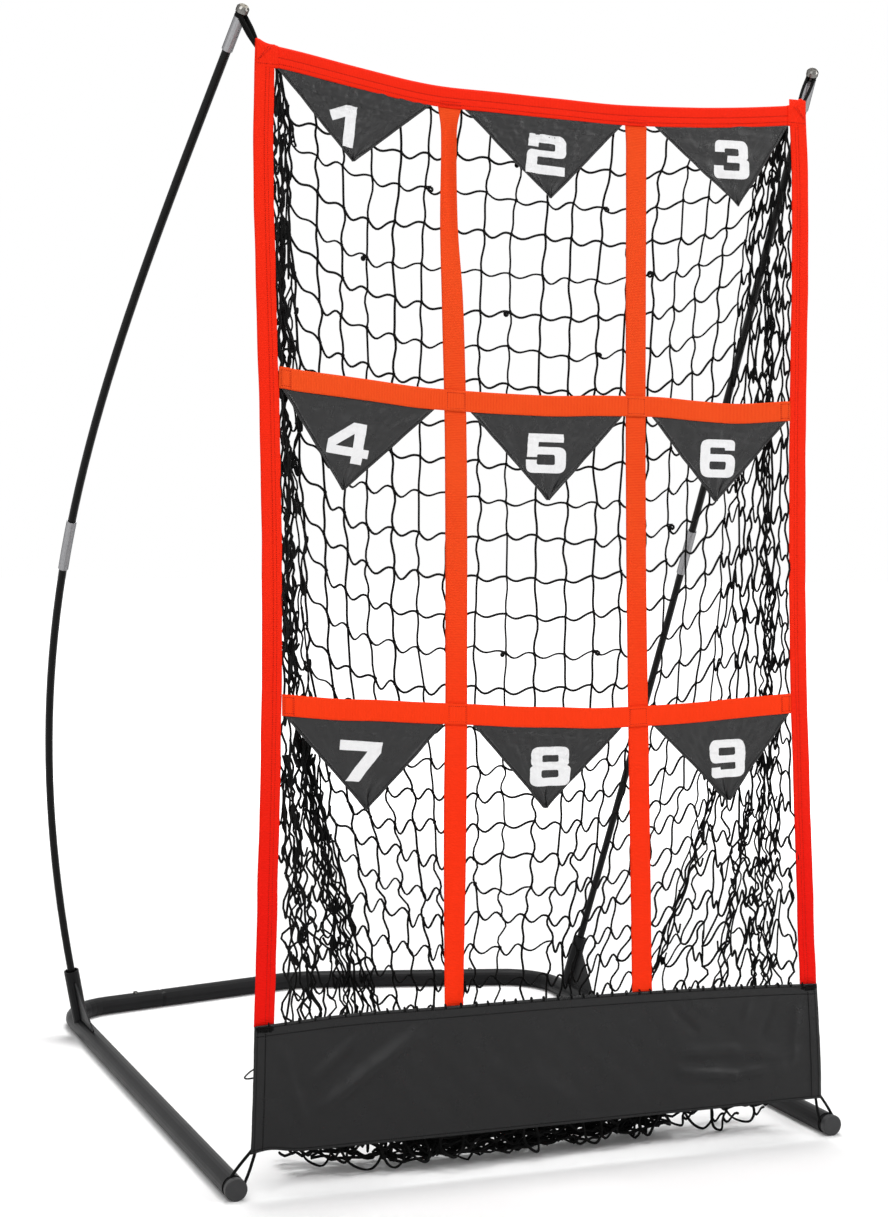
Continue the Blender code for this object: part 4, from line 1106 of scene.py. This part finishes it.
# net
net = {
    "cord": 0.0036, "mesh": 0.0500, "rowGap": 0.0560, "lowGap": 0.0460, "lowZone": 0.62, "leftColumns": 6,
    "sideColumns": 9, "backColumns": 17, "steps": 10, "seed": 11,
    # height, near and far depth behind the face, inset of the back's left and right side,
    # and how far the outer columns draw together
    "levels": ((1.560, 0.003, 0.004, 0.004, 0.004, 0.1), (1.500, 0.002, 0.046, 0.036, 0.022, 0.1),
               (1.290, 0.002, 0.066, 0.045, 0.050, 0.15), (0.814, 0.002, 0.078, 0.060, 0.075, 0.25),
               (0.415, 0.002, 0.110, 0.092, 0.096, 0.4), (0.222, 0.006, 0.118, 0.100, 0.132, 0.4),
               (0.100, 0.045, 0.130, 0.120, 0.130, 0.3), (0.006, 0.083, 0.142, 0.130, 0.138, 0.3)),
    "rise": 0.100, "riseRange": 2.3, "drift": 0.085, "curls": 16, "gatherSeed": 41, "knotSeed": 5,
    "floorGap": 0.003,
    # meshes drawn together into ropes: x, z and depth of the upper and of the lower end, strands, spread at both ends
    "gathers": ((-0.398, 1.35, 0.020, -0.378, 0.80, 0.050, 3, 0.006, 0.010),
                (-0.388, 0.84, 0.045, -0.352, 0.58, 0.070, 5, 0.010, 0.018),
                (-0.356, 0.62, 0.065, -0.255, 0.215, 0.095, 9, 0.020, 0.060),
                (-0.392, 0.60, 0.030, -0.345, 0.215, 0.050, 5, 0.016, 0.050),
                (0.392, 1.32, 0.030, 0.388, 0.84, 0.040, 3, 0.008, 0.016),
                (0.392, 0.86, 0.035, 0.386, 0.215, 0.060, 5, 0.014, 0.040),
                (0.352, 0.60, 0.095, 0.215, 0.215, 0.110, 3, 0.008, 0.014),
                (0.384, 0.52, 0.085, 0.338, 0.215, 0.105, 3, 0.012, 0.026)),
}


def netLevel(z, item):
    return smoothThrough([(level[0], level[item]) for level in net["levels"]], z)


def netKnot(column, z):
    # a knot's place at rest, round the bag from the left sleeve to the right one
    half = halfWidthAt(z) - 0.031
    near, far, left, right = (netLevel(z, k) for k in (1, 2, 3, 4))
    first, side, back = net["leftColumns"], net["sideColumns"], net["backColumns"]
    if first < column < first + back:
        t = (column - first) / back
        t -= netLevel(z, 5) * math.sin(2.0 * math.pi * t) / (2.0 * math.pi)
        x, depth = -half + left + (2.0 * half - left - right) * t, far
    else:
        t = column / first if column <= first else (first + back + side - column) / side
        x, depth = (-half + left * t if column <= first else half - right * t), near + (far - near) * t
    # low down the net slips towards the middle in long slanting folds
    slip = net["drift"] * clamp((0.75 - z) / 0.52, 0.0, 1.0)
    x += slip * (math.exp(-((x + 0.24) / 0.13) ** 2) - math.exp(-((x - 0.22) / 0.12) ** 2))
    return Vector((x, faceAt(0.0, z).y + depth, z))


def hungCord(a, b, length, sag, swirl, steps):
    # a slack cord between two knots: a sag and an S, as deep as its length asks
    span = (b - a).length

    def points(depth):
        line = []
        for k in range(steps + 1):
            t = k / steps
            drop = sag * math.sin(math.pi * t) + swirl * math.sin(2.0 * math.pi * t)
            line.append(a.lerp(b, t) - Vector((0.0, 0.0, depth * drop)))
        return line
    if span >= length:
        return points(0.0)
    low, high = 0.0, length
    for _ in range(12):
        middle = (low + high) / 2.0
        line = points(middle)
        if sum((q - p).length for p, q in zip(line, line[1:])) > length:
            high = middle
        else:
            low = middle
    return points(low)


def netHeights():
    heights, z = [], 1.518
    while z > 0.05:
        heights.append(z)
        z -= net["rowGap"] if z > net["lowZone"] else net["lowGap"]
    return heights + [0.030, 0.010]


def tieKnots(dice, heights, columns):
    knots = []
    for r, height in enumerate(heights):
        line = []
        for c in range(columns + 1):
            inwards = max(0.0, min(c - net["leftColumns"], columns - net["sideColumns"] - c))
            atSide = c < net["leftColumns"] or c > columns - net["sideColumns"]
            low = clamp((net["lowZone"] - height) / 0.3, 0.0, 1.0)
            loose = (1.0 + 0.6 * atSide) * (0.7 + 0.5 * low)
            # rows fall away from the sleeves, steeply in the first few meshes
            rise = net["rise"] * (1.0 - math.exp(-r / 2.5)) * (1.0 - 0.45 * low) * math.exp(-inwards / net["riseRange"])
            at = height + rise + 0.007 * wave(c * 0.5, r * 0.7, 3.0) * (r > 0)
            if atSide and r:      # gathered sideways, the meshes stand half a step apart
                at += 0.4 * net["rowGap"] * (c % 2) + dice.uniform(-0.008, 0.008)
            if r == 0:
                x = netKnot(c, height).x
                at = edgeAt("topEdge", clamp(x, -0.44, 0.43)) - 0.026
            at += dice.uniform(-0.0045, 0.0045) * loose * (r > 0)
            place = netKnot(c, clamp(at, 0.006, 1.560))
            if 0 < c < columns and r:
                place += Vector((dice.uniform(-0.0045, 0.0045), dice.uniform(-0.004, 0.005), 0.0)) * loose
            line.append(place)
        knots.append(line)
    return knots


def keptUp(path):
    # no cord goes into the floor
    return [Vector((p.x, p.y, max(p.z, net["floorGap"]))) for p in path]


def makeNet():
    dice = random.Random(net["seed"])
    columns = net["leftColumns"] + net["backColumns"] + net["sideColumns"]
    knots = tieKnots(dice, netHeights(), columns)
    rows, uprights = [], []
    for r, line in enumerate(knots):
        path = []
        for c in range(columns):
            a, b = line[c], line[c + 1]
            span = (b - a).length
            tight = min(span / net["mesh"], 1.0)
            inwards = max(0.0, min(c - net["leftColumns"], columns - net["sideColumns"] - 1 - c))
            deep = clamp((0.66 - a.z) / 0.2, 0.0, 1.0) * math.exp(-inwards / 4.5)
            swirl = dice.uniform(0.30, 0.60) * (1.0 - 0.5 * deep) + deep * 0.62
            sag = dice.uniform(0.45, 0.80) * (1.0 - 0.9 * deep)
            if b.z > a.z + 0.004 and deep < 0.5:      # a bar that climbs hangs first and then turns up
                swirl *= 0.6
            if r == 0:
                swirl, sag = 0.1, 0.3
            length = net["mesh"] * dice.uniform(0.96, 1.08) * (1.0 + 0.12 * deep - 0.25 * (1.0 - tight) * (1.0 - deep))
            length = span * 1.05 if r == 0 else max(length, span * 1.05)
            slack = Vector((dice.uniform(-0.003, 0.007), dice.uniform(-0.006, 0.002),
                            0.0)) * (c < net["leftColumns"] and r > 0)
            part = hungCord(a, b, length, sag, swirl, net["steps"])
            part = [p + slack * math.sin(math.pi * k / net["steps"]) for k, p in enumerate(part)]
            path += part if c == columns - 1 else part[:-1]
        rows.append(keptUp(path))
    for c in range(columns + 1):
        path = []
        for r in range(len(knots) - 1):
            a, b = knots[r][c], knots[r + 1][c]
            atSide = c < net["leftColumns"] or c > columns - net["sideColumns"]
            slack = (0.0028 + 0.0024 * clamp((0.75 - a.z) / 0.3, 0.0, 1.0)) * (1.7 if atSide else 1.0)
            bow = Vector((dice.uniform(-1.0, 1.0) * slack, dice.uniform(-0.5, 0.5) * slack, 0.0))
            for k in range(6):
                t = k / 6.0
                path.append(a.lerp(b, t) + bow * math.sin(2.0 * math.pi * t) + bow * 0.5 * math.sin(math.pi * t))
        path.append(knots[-1][c])
        uprights.append(keptUp(path))
    curls = []
    for _ in range(net["curls"]):
        # a tail of cord curled up beside its knot
        r = dice.randrange(1, len(knots) - 12)
        c = dice.randrange(net["leftColumns"] + 2, columns - net["sideColumns"] - 1)
        knot, radius, turns = knots[r][c], dice.uniform(0.0026, 0.0044), dice.uniform(1.2, 1.7)
        middle = knot + Vector((dice.choice((-1.0, 1.0)) * (radius + 0.003), -0.001, -0.003))
        curls.append([knot, *[middle + Vector((math.cos(a), -0.1, math.sin(a))) * radius * (1.0 - k / 22.0)
                              for k, a in enumerate([2.0 * math.pi * turns * i / 14.0 + 1.6 for i in range(15)])]])
    cords = cordCurve("net_cords", rows + uprights + curls, net["cord"], netCord)
    return cords, knots


def makeGathers():
    dice = random.Random(net["gatherSeed"])
    paths = []
    for x0, z0, deep0, x1, z1, deep1, count, spread0, spread1 in net["gathers"]:
        steps = round((z0 - z1) / 0.013)
        for k in range(count):
            seed, side = dice.uniform(0.0, 30.0), (k + 0.5) / count - 0.5
            line = []
            for i in range(steps + 1):
                t = i / steps
                z = z0 + (z1 - z0) * t
                x = x0 + (x1 - x0) * t ** 1.15 + side * (spread0 + (spread1 - spread0) * t)
                wander = 0.0045 + 0.0035 * (spread1 > 0.03) * t
                x += wander * wave(z * 95.0, seed, seed) + 0.0016 * wave(z * 260.0, 0.3, seed)
                depth = deep0 + (deep1 - deep0) * t + 0.006 * wave(z * 80.0, seed, 1.0 + seed)
                line.append(Vector((x, faceAt(0.0, z).y + depth, z + 0.003 * wave(z * 120.0, seed, 4.0))))
            paths.append(smoothPath(line, 2))
            for i in range(2, steps - 2, 4):      # meshes that hang out of the rope
                if dice.random() < 0.55:
                    a, wide = line[i], dice.uniform(0.006, 0.014) * dice.choice((-1.0, 1.0))
                    b = a + Vector((wide, dice.uniform(-0.004, 0.004), dice.uniform(-0.012, 0.006)))
                    paths.append(hungCord(a, b, (b - a).length + dice.uniform(0.012, 0.024), 0.8,
                                          dice.uniform(-0.3, 0.3), 8))
    return cordCurve("net_gathers", paths, net["cord"] * 0.95, netCord)


def makeKnots(knots):
    bm = bmesh.new()
    dice = random.Random(net["knotSeed"])
    for line in knots:
        for c, place in enumerate(line):
            gathered = c < net["leftColumns"] or c > net["leftColumns"] + net["backColumns"]
            made = bmesh.ops.create_icosphere(bm, subdivisions=1, radius=0.0021 if gathered else 0.0028)
            stretch = Matrix.Diagonal((dice.uniform(0.85, 1.15), 0.85, dice.uniform(1.0, 1.45), 1.0))
            turn = Matrix.Rotation(dice.uniform(-0.6, 0.6), 4, "Y")
            bmesh.ops.transform(bm, matrix=Matrix.Translation(place) @ turn @ stretch, verts=made["verts"])
    return meshPiece("net_knots", bm, netCord)


heap = {
    # the spare net that lies crumpled under the skirt: ends, strands, step along them, cord
    "ends": (-0.372, 0.398), "strands": 38, "step": 0.012, "cord": 0.0042, "seed": 23,
    "front": ((-0.40, -0.490), (-0.34, -0.500), (-0.24, -0.535), (-0.11, -0.556), (0.03, -0.545), (0.13, -0.532),
              (0.23, -0.522), (0.40, -0.500)),
    "fullness": ((-0.40, 0.10), (-0.33, 0.28), (-0.25, 0.45), (-0.17, 0.8), (-0.10, 1.0), (0.16, 1.0), (0.215, 0.6),
                 (0.245, 0.2), (0.40, 0.08)),
    # loops that hang open: x, width and drop, then their shape
    "openLoops": ((-0.350, 0.022, 0.026), (-0.330, 0.034, 0.040), (-0.300, 0.024, 0.034), (-0.272, 0.052, 0.047),
                  (-0.226, 0.030, 0.044), (-0.196, 0.026, 0.036), (-0.140, 0.030, 0.030), (-0.02, 0.020, 0.038),
                  (0.09, 0.026, 0.040), (0.196, 0.026, 0.040), (0.240, 0.030, 0.030), (0.278, 0.040, 0.042),
                  (0.322, 0.024, 0.048), (0.352, 0.044, 0.040), (0.388, 0.026, 0.022)),
    "loopShape": ((-0.50, 0.0), (-0.62, 0.30), (-0.48, 0.72), (-0.12, 0.98), (0.22, 1.0), (0.52, 0.70),
                  (0.60, 0.32), (0.44, -0.05)),
}


def makeHeap():
    dice = random.Random(heap["seed"])
    start, end = heap["ends"]
    count = round((end - start) / heap["step"])
    paths, knots = [], []
    for k in range(heap["strands"]):
        share = (k + 0.5) / heap["strands"]
        seed = dice.uniform(0.0, 50.0)
        level = 0.008 + 0.046 * dice.random() ** 0.9
        bounce, beat = dice.uniform(0.006, 0.013), dice.uniform(0.6, 1.1)
        deep = dice.uniform(0.0, 0.055)
        line = []
        for i in range(count + 1):
            x = start + (end - start) * i / count
            if smoothThrough(heap["fullness"], x) < share * (0.9 + 0.2 * math.sin(x * 60.0 + seed)):
                if len(line) > 3:
                    paths.append(smoothPath(line, 2))
                line = []
                continue
            z = level + bounce * wave(x * 75.0 * beat, 0.4 * seed, seed) + 0.003 * wave(x * 190.0, seed, 1.0)
            y = smoothThrough(heap["front"], x) + deep + 0.010 * wave(x * 60.0, seed, seed * 0.5)
            line.append(Vector((x + 0.004 * wave(x * 140.0, seed, 2.0), y, clamp(z, 0.0035, 0.068))))
            knots.append(line[-1])
        if len(line) > 3:
            paths.append(smoothPath(line, 2))
    for _ in range(90):      # short bars between the strands
        a = knots[dice.randrange(len(knots))]
        near = [p for p in knots if 0.006 < (p - a).length < 0.030]
        if near:
            b = near[dice.randrange(len(near))]
            paths.append(hungCord(a, b, (b - a).length * 1.3, dice.uniform(-0.5, 0.8), dice.uniform(-0.8, 0.8), 6))
    for _ in range(30):      # cords that run up behind the skirt
        a = knots[dice.randrange(len(knots))]
        paths.append(hungCord(a, a + Vector((dice.uniform(-0.012, 0.012), 0.010, 0.086 - a.z)), 0.094, 0.1, 0.3, 6))
    for x, wide, drop in heap["openLoops"]:
        y = smoothThrough(heap["front"], x) - 0.010
        lean, top = dice.uniform(-0.012, 0.012), 0.052
        loop = [Vector((x + wide * i + lean * j, y + 0.008 * dice.uniform(-1.0, 1.0) + 0.008 * (1.0 - j),
                        max(top - drop * j, 0.0035)))
                for i, j in heap["loopShape"]]
        paths.append(smoothPath(loop, 4))
        if dice.random() < 0.7:
            a, b = loop[5], loop[5] + Vector((dice.uniform(0.018, 0.030), 0.004, dice.uniform(0.002, 0.014)))
            paths.append(hungCord(a, b, (b - a).length * 1.25, 0.6, 0.6, 8))
    return cordCurve("net_heap", [keptUp(path) for path in paths], heap["cord"], netCord)


cords, knots = makeNet()
for piece in (cords, makeKnots(knots), makeGathers(), makeHeap()):
    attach(piece, "frame")
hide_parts("net_bag")
print("net is knotted:", len(knots), "rows")
